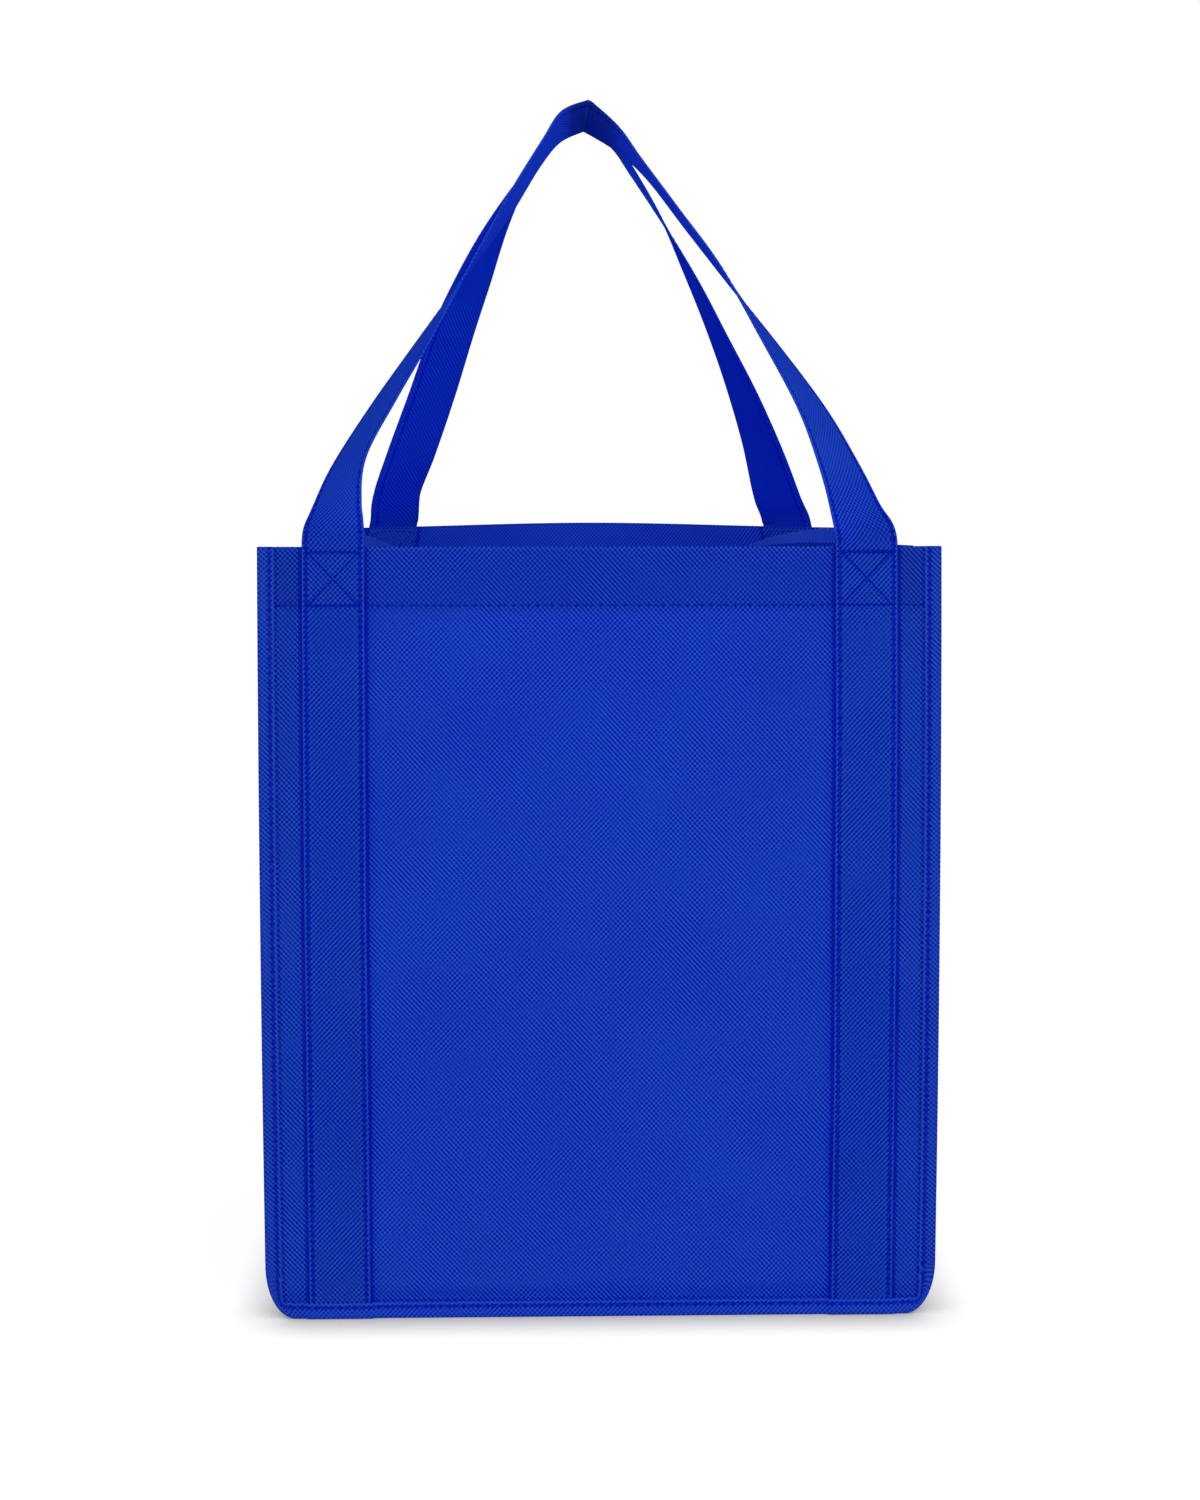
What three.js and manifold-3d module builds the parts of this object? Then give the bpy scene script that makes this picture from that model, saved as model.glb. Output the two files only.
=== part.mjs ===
// Non-woven tote bag, standing open on its base with both handles up.
// Millimetres, +Z up, front towards -Y, origin at the centre of the base.
import * as THREE from 'three';
import { mergeVertices } from 'three/addons/utils/BufferGeometryUtils.js';
import Module from 'manifold-3d';

// Overall size of the body.
const FRONT_WIDTH = 330;
const BODY_HEIGHT = 378;
const BASE_DEPTH = 254;

// How far the cloth moves from a plain box at the mouth.
const CREASE_IN = 70;
const BACK_BOW = 70;
const BOW_ROUND = 30;
const BOW_FLARE = 0.4;

// Cloth, seams and edge tape.
const CLOTH = 0.5;
const GAP = 0.3;
const FIN = 8;
const TAPE_LEAF = 8.4;
const CORNER_ACROSS = 15;
const CORNER_UP = 27;
const HEM = 30;
const HEM_STITCH = 28;
const HEM_SIDE_TRIM = 3;

// Straps and handles.
const STRAP_WIDTH = 30;
const STRAP_THICK = 1;
const STRAP_BEVEL = 0.4;
const STRAP_GAP = 0.6;
const STRAP_FROM_EDGE = 36.5;
const STRAP_END = 1.2;
const STRAP_ROW_INSET = 2;
const FRONT_LOOP_LEAN = 27;
const BACK_LOOP_LEAN = 25;
const RIM_LIFT = 2;

// Stiff sheet lying on the bottom.
const BOARD_THICK = 1.2;
const BOARD_CLEAR_X = 9;
const BOARD_CLEAR_Y = 5;

// Thread rows.
const HEM_ROW_END = 1.5;
const HEM_ROW_CLEAR = 1;
const THREAD_WIDE = 0.8;
const THREAD_HIGH = 0.3;
const STRAP_THREAD_GAP = 0.45;
const BOX_TOP_INSET = 2;
const BINDING_TOP_GAP = 0.2;
const BINDING_ROW_END = 2;
const BINDING_ROW_INSET = 2.4;

// Handle stations above the rim for the designed body: across, depth, height above the rim, turn in degrees.
const FRONT_STATIONS = [
  [-127, -99, 19, 30], [-121, -91, 41, 50], [-105, -79, 69, 56], [-88, -67, 96, 62], [-67, -53, 130, 73],
  [-45, -38, 165, 84], [-28, -27, 193, 84], [-18, -20, 207, 87], [-5, -17, 213, 88], [11, -20, 201, 83],
  [24, -26, 186, 76], [42, -38, 161, 75], [63, -51, 132, 73], [85, -66, 98, 60], [105, -79, 65, 48],
  [117, -90, 38, 36], [124, -99, 18, 23],
];
const BACK_STATIONS = [
  [-110, 110, 19, 28], [-101, 98, 42, 25], [-89, 84, 73, 29], [-77, 69, 106, 35], [-67, 58, 130, 43],
  [-52, 42, 162, 60], [-31, 27, 196, 78], [-19, 20, 208, 84], [-5, 17, 215, 88], [8, 20, 206, 88],
  [18, 28, 193, 87], [37, 41, 165, 83], [53, 54, 137, 74], [68, 68, 108, 67], [83, 82, 77, 56],
  [96, 97, 46, 44], [106, 110, 17, 29],
];
const STATION_STRAP_FROM_CENTRE = 128.5;
const STATION_MOUTH_HALF = 106;

// Derived sizes.
const HALF_WIDTH = FRONT_WIDTH / 2;
const SEAM_HALF = HALF_WIDTH - FIN;
const HALF_DEPTH = BASE_DEPTH / 2;
const TAPE_WRAP = CLOTH + GAP;
const LAYER = CLOTH + GAP;
const STRAP_OFFSET = CLOTH / 2 + STRAP_GAP + STRAP_THICK / 2;
const FLAT_HALF = HALF_WIDTH - CORNER_ACROSS;
const STRAP_FROM_CENTRE = HALF_WIDTH - STRAP_FROM_EDGE;
const LIFT_RUN = 3;
const LIFT_START = 1;
const FRONT_COLUMNS = [0, 0.35, 0.73, 0.94, 1];
const BACK_COLUMNS = [0, 0.06, 0.14, 0.25, 0.4, 0.57, 0.735, 0.835, 0.935, 1];

const group = new THREE.Group();
group.name = 'non_woven_tote_bag';

function material(name, hex, roughness) {
  const made = new THREE.MeshStandardMaterial({ color: hex, roughness });
  made.name = name;
  return made;
}

function addMesh(name, geometry, hex = 0x1638b0, roughness = 0.75) {
  const mesh = new THREE.Mesh(geometry, material(name + '_material', hex, roughness));
  mesh.name = name;
  group.add(mesh);
}

function range(count) {
  return Array.from({ length: count + 1 }, (_, i) => i / count);
}

// Height as a fraction from the bottom seam to the rim, never below zero.
function rise(z) {
  return Math.max(0, (z - FIN) / (BODY_HEIGHT - FIN));
}

// Half depth of the body at a height, from the side walls folding inwards.
function halfDepth(z) {
  const inward = CREASE_IN * rise(z);
  return Math.sqrt(HALF_DEPTH ** 2 - inward ** 2);
}

// Outward bow of the back panel at a distance from its middle, as a fraction of the full bow.
function bowShape(s) {
  const reach = Math.hypot(SEAM_HALF, BOW_ROUND) - BOW_ROUND;
  const vee = 1 - (Math.hypot(s, BOW_ROUND) - BOW_ROUND) / reach;
  const wave = (1 + Math.cos((Math.PI * Math.min(Math.abs(s), SEAM_HALF)) / SEAM_HALF)) / 2;
  return (1 - BOW_FLARE) * vee + BOW_FLARE * wave;
}

// Plan position of the back panel: the cloth keeps its length while it bows.
function backPlan(s, z) {
  const bow = BACK_BOW * rise(z) ** 2;
  const steps = 24;
  const ds = s / steps;
  let x = 0;
  for (let k = 0; k < steps; k += 1) {
    const dy = bow * (bowShape((k + 1) * ds) - bowShape(k * ds));
    x += Math.sign(s) * Math.sqrt(Math.max(0, ds * ds - dy * dy));
  }
  return [x, halfDepth(z) + bow * bowShape(s)];
}

// A point on the front or back wall: across, height and distance out from the middle of its cloth.
function place(side, s, z, out) {
  if (side < 0) {
    return new THREE.Vector3(s, -halfDepth(z) - out, z);
  }
  const here = backPlan(s, z);
  const left = backPlan(s - 1, z);
  const right = backPlan(s + 1, z);
  const tx = right[0] - left[0];
  const ty = right[1] - left[1];
  const len = Math.hypot(tx, ty);
  return new THREE.Vector3(here[0] - (ty / len) * out, here[1] + (tx / len) * out, z);
}

// Unit vector along the wall towards +s.
function alongWall(side, s, z) {
  return place(side, s + 1, z, 0).sub(place(side, s - 1, z, 0)).normalize();
}

function gridNormals(grid, i, j) {
  const rows = grid.length;
  const cols = grid[0].length;
  const a = grid[Math.min(i + 1, rows - 1)][j].clone().sub(grid[Math.max(i - 1, 0)][j]);
  const b = grid[i][Math.min(j + 1, cols - 1)].clone().sub(grid[i][Math.max(j - 1, 0)]);
  return b.cross(a).normalize();
}

// One closed cloth body from a grid of points in the middle of its thickness.
function clothSolid(grid, thick, keep = () => true) {
  const rows = grid.length - 1;
  const cols = grid[0].length - 1;
  const top = [];
  const low = [];
  grid.forEach((line, i) => {
    line.forEach((p, j) => {
      const n = gridNormals(grid, i, j).multiplyScalar(thick / 2);
      top.push(p.clone().add(n));
      low.push(p.clone().sub(n));
    });
  });
  const at = (i, j) => i * (cols + 1) + j;
  const used = (i, j) => i >= 0 && j >= 0 && i < rows && j < cols && keep(i, j);
  const out = [];
  const tri = (a, b, c) => out.push(a.x, a.y, a.z, b.x, b.y, b.z, c.x, c.y, c.z);
  const quad = (a, b, c, d) => {
    tri(a, b, c);
    tri(a, c, d);
  };
  const wall = (p, q) => quad(top[p], low[p], low[q], top[q]);
  for (let i = 0; i < rows; i += 1) {
    for (let j = 0; j < cols; j += 1) {
      if (!used(i, j)) continue;
      const [a, b, c, d] = [at(i, j), at(i, j + 1), at(i + 1, j + 1), at(i + 1, j)];
      quad(top[a], top[b], top[c], top[d]);
      quad(low[a], low[d], low[c], low[b]);
      if (!used(i - 1, j)) wall(a, b);
      if (!used(i, j + 1)) wall(b, c);
      if (!used(i + 1, j)) wall(c, d);
      if (!used(i, j - 1)) wall(d, a);
    }
  }
  const geometry = new THREE.BufferGeometry();
  geometry.setAttribute('position', new THREE.Float32BufferAttribute(out, 3));
  return outward(mergeVertices(geometry, 1e-4));
}

function signedVolume(geometry) {
  const p = geometry.attributes.position;
  const index = geometry.index.array;
  const [a, b, c] = [new THREE.Vector3(), new THREE.Vector3(), new THREE.Vector3()];
  let sum = 0;
  for (let k = 0; k < index.length; k += 3) {
    a.fromBufferAttribute(p, index[k]);
    b.fromBufferAttribute(p, index[k + 1]);
    c.fromBufferAttribute(p, index[k + 2]);
    sum += a.dot(b.cross(c)) / 6;
  }
  return sum;
}

// Turns a body's faces outwards when they were made the other way round.
function outward(geometry) {
  if (signedVolume(geometry) < 0) {
    const index = geometry.index.array;
    for (let k = 0; k < index.length; k += 3) {
      [index[k + 1], index[k + 2]] = [index[k + 2], index[k + 1]];
    }
  }
  geometry.computeVertexNormals();
  return geometry;
}

// A station of a sweep: its centre, its width axis, its face axis and the point at a width and a height.
function framed(at, across, face) {
  const point = (w, t) => at.clone().addScaledVector(across, w).addScaledVector(face, t);
  return { at, across, face, point };
}

// One closed body swept along stations.
function sweepSolid(stations, section) {
  const out = [];
  const rings = stations.map((st) => section.map(([w, t]) => st.point(w, t)));
  const tri = (a, b, c) => out.push(a.x, a.y, a.z, b.x, b.y, b.z, c.x, c.y, c.z);
  const count = section.length;
  for (let i = 0; i < rings.length - 1; i += 1) {
    for (let k = 0; k < count; k += 1) {
      const m = (k + 1) % count;
      tri(rings[i][k], rings[i][m], rings[i + 1][m]);
      tri(rings[i][k], rings[i + 1][m], rings[i + 1][k]);
    }
  }
  const last = rings[rings.length - 1];
  for (let k = 1; k < count - 1; k += 1) {
    tri(rings[0][0], rings[0][k + 1], rings[0][k]);
    tri(last[0], last[k], last[k + 1]);
  }
  const geometry = new THREE.BufferGeometry();
  geometry.setAttribute('position', new THREE.Float32BufferAttribute(out, 3));
  return outward(mergeVertices(geometry, 1e-4));
}

function rectangle(wide, high, shift = 0) {
  const [w, h] = [wide / 2, high / 2];
  return [[shift - w, -h], [shift + w, -h], [shift + w, h], [shift - w, h]];
}

const CORNER_ANGLES = [1, 2, 3, 4, 5, 6, 7].map((k) => (k * Math.PI) / 14);

// Heights shared by every layer of a wall, so that the layers stay parallel.
const HEM_LINE = BODY_HEIGHT - HEM_STITCH;
const WALL_ROWS = [...range(8).map((f) => CORNER_UP + f * (HEM_LINE - CORNER_UP)), BODY_HEIGHT - HEM_STITCH / 2];

// Rounded outline of a wall at an inset: from the left rim down, along the bottom, up to the right rim.
function outlineStations(heights, angles, flats) {
  const left = [
    ...heights.map((z) => ({ kind: 'side', z })),
    ...angles.map((a) => ({ kind: 'corner', a })),
    ...flats.map((x) => ({ kind: 'flat', x: -x })),
  ];
  const right = left.slice(0, -1).reverse().map((st) => ({ ...st, mirror: true }));
  return [...left, ...right];
}

function outlinePoint(station, inset) {
  const sign = station.mirror ? 1 : -1;
  if (station.kind === 'side') return [sign * (HALF_WIDTH - inset), station.z];
  if (station.kind === 'flat') return [sign * Math.abs(station.x), inset];
  const across = (CORNER_ACROSS - inset) * Math.cos(station.a);
  const up = (CORNER_UP - inset) * Math.sin(station.a);
  return [sign * (FLAT_HALF + across), CORNER_UP - up];
}

// How far in from the outline's side a wall's cloth is cut at a height.
function cornerInset(z, inset) {
  if (z >= CORNER_UP) return 0;
  const part = (CORNER_UP - z) / (CORNER_UP - inset);
  return (CORNER_ACROSS - inset) * (1 - Math.sqrt(Math.max(0, 1 - part * part)));
}

const FOLD_RADIUS = LAYER / 2;
const FOLD_TOP = BODY_HEIGHT - CLOTH / 2 - FOLD_RADIUS;

// Rows of a hemmed edge: height and distance to the inside, over the fold and down the inner leaf.
function hemRows(folds = 4) {
  const rows = [];
  for (let k = 1; k <= folds; k += 1) {
    const a = (Math.PI * k) / folds;
    rows.push([FOLD_TOP + FOLD_RADIUS * Math.sin(a), FOLD_RADIUS * (1 - Math.cos(a))]);
  }
  const drop = HEM - (BODY_HEIGHT - FOLD_TOP);
  return [...rows, [FOLD_TOP - drop / 2, LAYER], [FOLD_TOP - drop, LAYER]];
}

function wallColumns(side) {
  const half = (side < 0 ? FRONT_COLUMNS : BACK_COLUMNS).map((f) => (SEAM_HALF - HEM_SIDE_TRIM) * f);
  return [...half.slice(1).reverse().map((s) => -s), ...half];
}

// Front or back wall: one sheet with rounded lower corners and its top folded down inside.
function panel(side) {
  const inset = TAPE_WRAP;
  const edge = HALF_WIDTH - inset;
  const low = [...CORNER_ANGLES].reverse().map((a) => CORNER_UP - (CORNER_UP - inset) * Math.sin(a));
  const rows = [...low, CORNER_UP].map((z) => [z, 0]);
  WALL_ROWS.slice(1).forEach((z) => rows.push([z, 0]));
  rows.push([FOLD_TOP, 0]);
  const flatRows = rows.length - 1;
  const inner = wallColumns(side);
  const across = [-edge, -(SEAM_HALF + edge) / 2, ...inner, (SEAM_HALF + edge) / 2, edge];
  const grid = [...rows, ...hemRows()].map(([z, inside]) => {
    const squeeze = 1 - cornerInset(z, inset) / edge;
    return across.map((s) => place(side, s * squeeze, z, -inside));
  });
  const last = across.length - 2;
  const keep = (i, j) => i < flatRows || (j >= 2 && j < last - 1);
  addMesh(side < 0 ? 'front_panel' : 'back_panel', clothSolid(grid, CLOTH, keep));
}

// How much lower a crease point lies than the seams beside it, because its cloth leans in and keeps its length.
function creaseDrop(z, inward) {
  const length = Math.max(0, z - FIN);
  return length - Math.sqrt(Math.max(0, length * length - inward * inward));
}

// Corners and crease of a side wall at one outline station.
function gussetLine(station) {
  const wallOut = -LAYER;
  const [seamS, seamZ] = outlinePoint(station, FIN);
  const [edgeS, edgeZ] = outlinePoint(station, TAPE_WRAP);
  const [midS, midZ] = outlinePoint(station, (FIN + TAPE_WRAP) / 2);
  const front = place(-1, seamS, seamZ, wallOut);
  const back = place(1, seamS, seamZ, wallOut);
  const fins = [
    place(-1, edgeS, edgeZ, wallOut), place(-1, midS, midZ, wallOut),
    place(1, midS, midZ, wallOut), place(1, edgeS, edgeZ, wallOut),
  ];
  const chord = back.clone().sub(front);
  const half = HALF_DEPTH - LAYER;
  const fold = Math.sqrt(Math.max(0, half * half - chord.lengthSq() / 4));
  const toInside = new THREE.Vector3(chord.y, -chord.x, 0).normalize();
  if (toInside.x * seamS > 0) toInside.negate();
  const sideways = station.kind === 'flat' ? 0 : fold;
  const crease = front.clone().add(back).multiplyScalar(0.5).addScaledVector(toInside, sideways);
  crease.z -= creaseDrop(seamZ, sideways);
  return { front, back, crease, fins };
}

const WALL_SPLITS = [0.035, 0.3, 0.65, 0.92, 0.98];

// Points of one side wall row from the front fin to the back fin, with a softened crease.
function gussetRow(station) {
  const { front, back, crease, fins } = gussetLine(station);
  const toFront = WALL_SPLITS.map((f) => front.clone().lerp(crease, f));
  const toBack = WALL_SPLITS.map((f) => back.clone().lerp(crease, f)).reverse();
  const flank = toFront[toFront.length - 1].clone().add(toBack[0]).multiplyScalar(0.5);
  const soft = flank.lerp(crease, 0.5);
  return [fins[0], fins[1], front, ...toFront, soft, ...toBack, back, fins[2], fins[3]];
}

// The same row moved towards the inside of the bag, for the folded hem.
function insideRow(row, inside) {
  const middle = new THREE.Vector3(0, 0, 0);
  return row.map((p, j) => {
    const a = row[Math.max(0, j - 1)];
    const b = row[Math.min(row.length - 1, j + 1)];
    const n = new THREE.Vector3(b.y - a.y, a.x - b.x, 0).normalize();
    if (n.dot(middle.clone().sub(p)) < 0) n.negate();
    return p.clone().addScaledVector(n, inside);
  });
}

// One long strip with a hem folded in at both ends. Its two sides and its bottom are three nodes, so that the
// collision of each follows its own folds.
function gusset() {
  const isFlat = (station) => station.kind === 'flat';
  const body = outlineStations(
    [FOLD_TOP, ...[...WALL_ROWS].reverse()],
    CORNER_ANGLES,
    [FLAT_HALF - GAP, 0.5 * FLAT_HALF, 0],
  );
  const hem = (mirror) => hemRows().map(([z, inside]) => insideRow(gussetRow({ kind: 'side', z, mirror }), inside));
  const piece = (name, stations, before, after) => {
    const grid = [...before, ...stations.map(gussetRow), ...after];
    const last = grid.length - 1 - after.length;
    const cols = grid[0].length - 1;
    const keep = (i, j) => (i >= before.length && i < last) || (j >= 3 && j < cols - 3);
    addMesh(name, clothSolid(grid, CLOTH, keep), 0x1536ac);
  };
  piece('gusset_left', body.filter((station) => !isFlat(station) && !station.mirror), hem(false).reverse(), []);
  piece('gusset_bottom', body.filter(isFlat), [], []);
  piece('gusset_right', body.filter((station) => !isFlat(station) && station.mirror), [], hem(true));
}

// Half section of the edge tape: inset from the outline and distance out from the wall's cloth.
function tapeSection(lift) {
  const front = LAYER + lift;
  const rear = -2 * LAYER;
  return [
    [TAPE_LEAF, front], [0.9, front], [0.45, front - 0.15], [CLOTH / 2, front - 0.5],
    [CLOTH / 2, rear + 0.5], [0.45, rear + 0.15], [0.9, rear], [TAPE_LEAF - 1.4, rear],
  ];
}

function strapLift(s) {
  const beyond = Math.abs(Math.abs(s) - STRAP_FROM_CENTRE) - STRAP_WIDTH / 2;
  const part = Math.min(1, Math.max(0, (LIFT_RUN - beyond) / (LIFT_RUN - LIFT_START)));
  return (STRAP_THICK + STRAP_GAP) * part;
}

// Stations round a seam from a height down, with one at each bend over a strap end.
function seamStations(top) {
  const near = STRAP_FROM_CENTRE + STRAP_WIDTH / 2;
  const far = STRAP_FROM_CENTRE - STRAP_WIDTH / 2;
  const flats = [near + LIFT_RUN, near + LIFT_START, far - LIFT_START, far - LIFT_RUN, far / 2, 0];
  return outlineStations([top, ...[...WALL_ROWS].reverse()], CORNER_ANGLES, flats);
}

// Folded tape round the seam of one wall, lifted where the strap ends pass under it.
function binding(side) {
  const stations = seamStations(BODY_HEIGHT - BINDING_TOP_GAP);
  const grid = stations.map((st) => {
    const lift = st.kind === 'flat' ? strapLift(st.x) : 0;
    return tapeSection(lift).map(([inset, out]) => {
      const [s, z] = outlinePoint(st, inset);
      return place(side, s, z, out);
    });
  });
  addMesh(side < 0 ? 'front_binding' : 'back_binding', clothSolid(grid, CLOTH), 0x15329f);
}

function smoothValue(a, b, c, d, t) {
  const t2 = t * t;
  const t3 = t2 * t;
  return 0.5 * (2 * b + (c - a) * t + (2 * a - 5 * b + 4 * c - d) * t2 + (3 * b - a - 3 * c + d) * t3);
}

function smoothVector(list, i, t) {
  const p = (k) => list[Math.min(list.length - 1, Math.max(0, k))];
  const [a, b, c, d] = [p(i - 1), p(i), p(i + 1), p(i + 2)];
  return new THREE.Vector3(
    smoothValue(a.x, b.x, c.x, d.x, t),
    smoothValue(a.y, b.y, c.y, d.y, t),
    smoothValue(a.z, b.z, c.z, d.z, t),
  );
}

// Stations of one handle from the left bottom seam, up, round its loop and down to the right seam.
function handleStations(side) {
  const heights = [STRAP_END, FIN, ...WALL_ROWS, BODY_HEIGHT, BODY_HEIGHT + RIM_LIFT];
  const wall = (s) => heights.map((z) => {
    const turn = side * Math.sign(-s);
    return {
      wall: true,
      at: place(side, s, z, STRAP_OFFSET),
      across: alongWall(side, s, z).multiplyScalar(turn),
      point: (w, t) => place(side, s + turn * w, z, STRAP_OFFSET + t),
    };
  });
  const loop = side < 0 ? FRONT_STATIONS : BACK_STATIONS;
  const lean = THREE.MathUtils.degToRad(side < 0 ? -FRONT_LOOP_LEAN : BACK_LOOP_LEAN);
  const normal = new THREE.Vector3(0, Math.cos(lean), Math.sin(lean));
  const scaleX = STRAP_FROM_CENTRE / STATION_STRAP_FROM_CENTRE;
  const scaleY = halfDepth(BODY_HEIGHT) / STATION_MOUTH_HALF;
  const points = loop.map(([x, y, z]) => new THREE.Vector3(x * scaleX, y * scaleY, BODY_HEIGHT + z));
  const upper = points.map((at, i) => {
    const before = points[Math.max(0, i - 1)];
    const after = points[Math.min(points.length - 1, i + 1)];
    const along = after.clone().sub(before).normalize();
    const n = normal.clone().addScaledVector(along, -normal.dot(along)).normalize();
    const q = n.clone().cross(along);
    const turn = THREE.MathUtils.degToRad(loop[i][3]);
    const across = q.multiplyScalar(side * Math.cos(turn)).addScaledVector(n, Math.sin(turn));
    return { at, across };
  });
  return [...wall(-STRAP_FROM_CENTRE), ...upper, ...wall(STRAP_FROM_CENTRE).reverse()];
}

// Fine stations with square axes: the wall ones as they are, the loop ones on a smooth curve.
function refine(stations, between) {
  const places = stations.map((st) => st.at);
  const fine = [];
  for (let i = 0; i < stations.length - 1; i += 1) {
    const [from, to] = [stations[i], stations[i + 1]];
    if (from.wall) fine.push(from);
    if (from.wall && to.wall) continue;
    for (let k = from.wall ? 1 : 0; k < between; k += 1) {
      const t = k / between;
      fine.push({ at: smoothVector(places, i, t), across: from.across.clone().lerp(to.across, t) });
    }
  }
  fine.push(stations[stations.length - 1]);
  return fine.map((st, i) => {
    if (st.wall) return st;
    const along = fine[i + 1].at.clone().sub(fine[i - 1].at).normalize();
    const across = st.across.clone().addScaledVector(along, -st.across.dot(along)).normalize();
    return framed(st.at, across, along.clone().cross(across).normalize());
  });
}

function strapSection() {
  const w = STRAP_WIDTH / 2;
  const t = STRAP_THICK / 2;
  const b = STRAP_BEVEL;
  const m = w / 3;
  const lower = [[-w, 0], [-w + b, -t], [-m, -t], [m, -t], [w - b, -t]];
  return [...lower, ...lower.map(([x, y]) => [-x, -y])];
}

// One handle: a single strap sewn up the wall, round its loop and down again, with its two thread rows.
function handle(side) {
  const name = side < 0 ? 'front' : 'back';
  const stations = refine(handleStations(side), 3);
  addMesh(name + '_handle', sweepSolid(stations, strapSection()), 0x1132a5);
  const rows = stations.slice(2, -2);
  const shift = STRAP_WIDTH / 2 - STRAP_ROW_INSET;
  const raised = STRAP_THICK / 2 + STRAP_THREAD_GAP + THREAD_HIGH / 2;
  const cut = (across) => rectangle(THREAD_WIDE, THREAD_HIGH, across).map(([w, t]) => [w, t + raised]);
  addMesh(name + '_strap_thread_outer', sweepSolid(rows, cut(shift)));
  addMesh(name + '_strap_thread_inner', sweepSolid(rows, cut(-shift)));
}

// A thread row lying on a wall between two points given as across and height.
function threadRow(side, from, to, out, fractions) {
  return fractions.map((f) => {
    const s = from[0] + (to[0] - from[0]) * f;
    const z = from[1] + (to[1] - from[1]) * f;
    const at = place(side, s, z, out);
    const ahead = place(side, s + (to[0] - from[0]) * 0.01, z + (to[1] - from[1]) * 0.01, out).sub(at).normalize();
    const face = alongWall(side, s, z).cross(new THREE.Vector3(0, 0, 1)).normalize();
    if (face.y * side < 0) face.negate();
    return framed(at, ahead.clone().cross(face).normalize(), face);
  });
}

// Hem rows: one between the straps and a short one outside each strap.
function hemThreads(side) {
  const name = side < 0 ? 'front' : 'back';
  const z = HEM_LINE;
  const out = CLOTH / 2 + GAP + THREAD_HIGH / 2;
  const inner = STRAP_FROM_CENTRE - STRAP_WIDTH / 2 - HEM_ROW_CLEAR;
  const outerFrom = STRAP_FROM_CENTRE + STRAP_WIDTH / 2 + HEM_ROW_CLEAR;
  const outerTo = SEAM_HALF - HEM_ROW_END;
  const cut = rectangle(THREAD_WIDE, THREAD_HIGH);
  const knots = wallColumns(side);
  const row = (from, to) => {
    const along = [from, ...knots.filter((s) => s > from + 1 && s < to - 1), to];
    return sweepSolid(threadRow(side, [from, z], [to, z], out, along.map((s) => (s - from) / (to - from))), cut);
  };
  addMesh(name + '_hem_thread_middle', row(-inner, inner));
  addMesh(name + '_hem_thread_left', row(-outerTo, -outerFrom));
  addMesh(name + '_hem_thread_right', row(outerFrom, outerTo));
}

// Thread row near the inner edge of the edge tape.
function bindingThread(side) {
  const stations = seamStations(BODY_HEIGHT - BINDING_ROW_END);
  const out = LAYER + CLOTH / 2 + GAP + THREAD_HIGH / 2;
  const grid = stations.map((st) => [0, 1].map((k) => {
    const [s, z] = outlinePoint(st, TAPE_LEAF - BINDING_ROW_INSET - THREAD_WIDE * k);
    return place(side, s, z, out + (st.kind === 'flat' ? strapLift(st.x) : 0));
  }));
  addMesh(side < 0 ? 'front_binding_thread' : 'back_binding_thread', clothSolid(grid, THREAD_HIGH));
}

const wasm = await Module();
wasm.setup();

function toManifold(geometry) {
  const bare = geometry.clone();
  bare.deleteAttribute('normal');
  bare.deleteAttribute('uv');
  const merged = mergeVertices(bare, 1e-5);
  const mesh = new wasm.Mesh({
    numProp: 3,
    vertProperties: new Float32Array(merged.attributes.position.array),
    triVerts: new Uint32Array(merged.index.array),
  });
  return new wasm.Manifold(mesh);
}

function fromManifold(solid) {
  const mesh = solid.getMesh();
  const geometry = new THREE.BufferGeometry();
  geometry.setAttribute('position', new THREE.BufferAttribute(new Float32Array(mesh.vertProperties), 3));
  geometry.setIndex(new THREE.BufferAttribute(new Uint32Array(mesh.triVerts), 1));
  geometry.computeVertexNormals();
  return geometry;
}

// The crossed stitches that hold a strap to the hem, as one joined body.
function crossThread(side, s) {
  const out = STRAP_OFFSET + STRAP_THICK / 2 + STRAP_THREAD_GAP + THREAD_HIGH / 2;
  const half = STRAP_WIDTH / 2 - STRAP_ROW_INSET - THREAD_WIDE - GAP;
  const low = HEM_LINE;
  const high = BODY_HEIGHT - BOX_TOP_INSET;
  const lines = [
    [[s - half, low], [s + half, low]], [[s - half, high], [s + half, high]],
    [[s - half, low], [s + half, high]], [[s - half, high], [s + half, low]],
  ];
  const cut = rectangle(THREAD_WIDE, THREAD_HIGH);
  const bodies = lines.map(([a, b]) => toManifold(sweepSolid(threadRow(side, a, b, out, range(2)), cut)));
  const joined = bodies.slice(1).reduce((sum, one) => sum.add(one), bodies[0]);
  const name = (side < 0 ? 'front' : 'back') + (s < 0 ? '_left' : '_right') + '_cross_thread';
  addMesh(name, fromManifold(joined));
}

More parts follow.
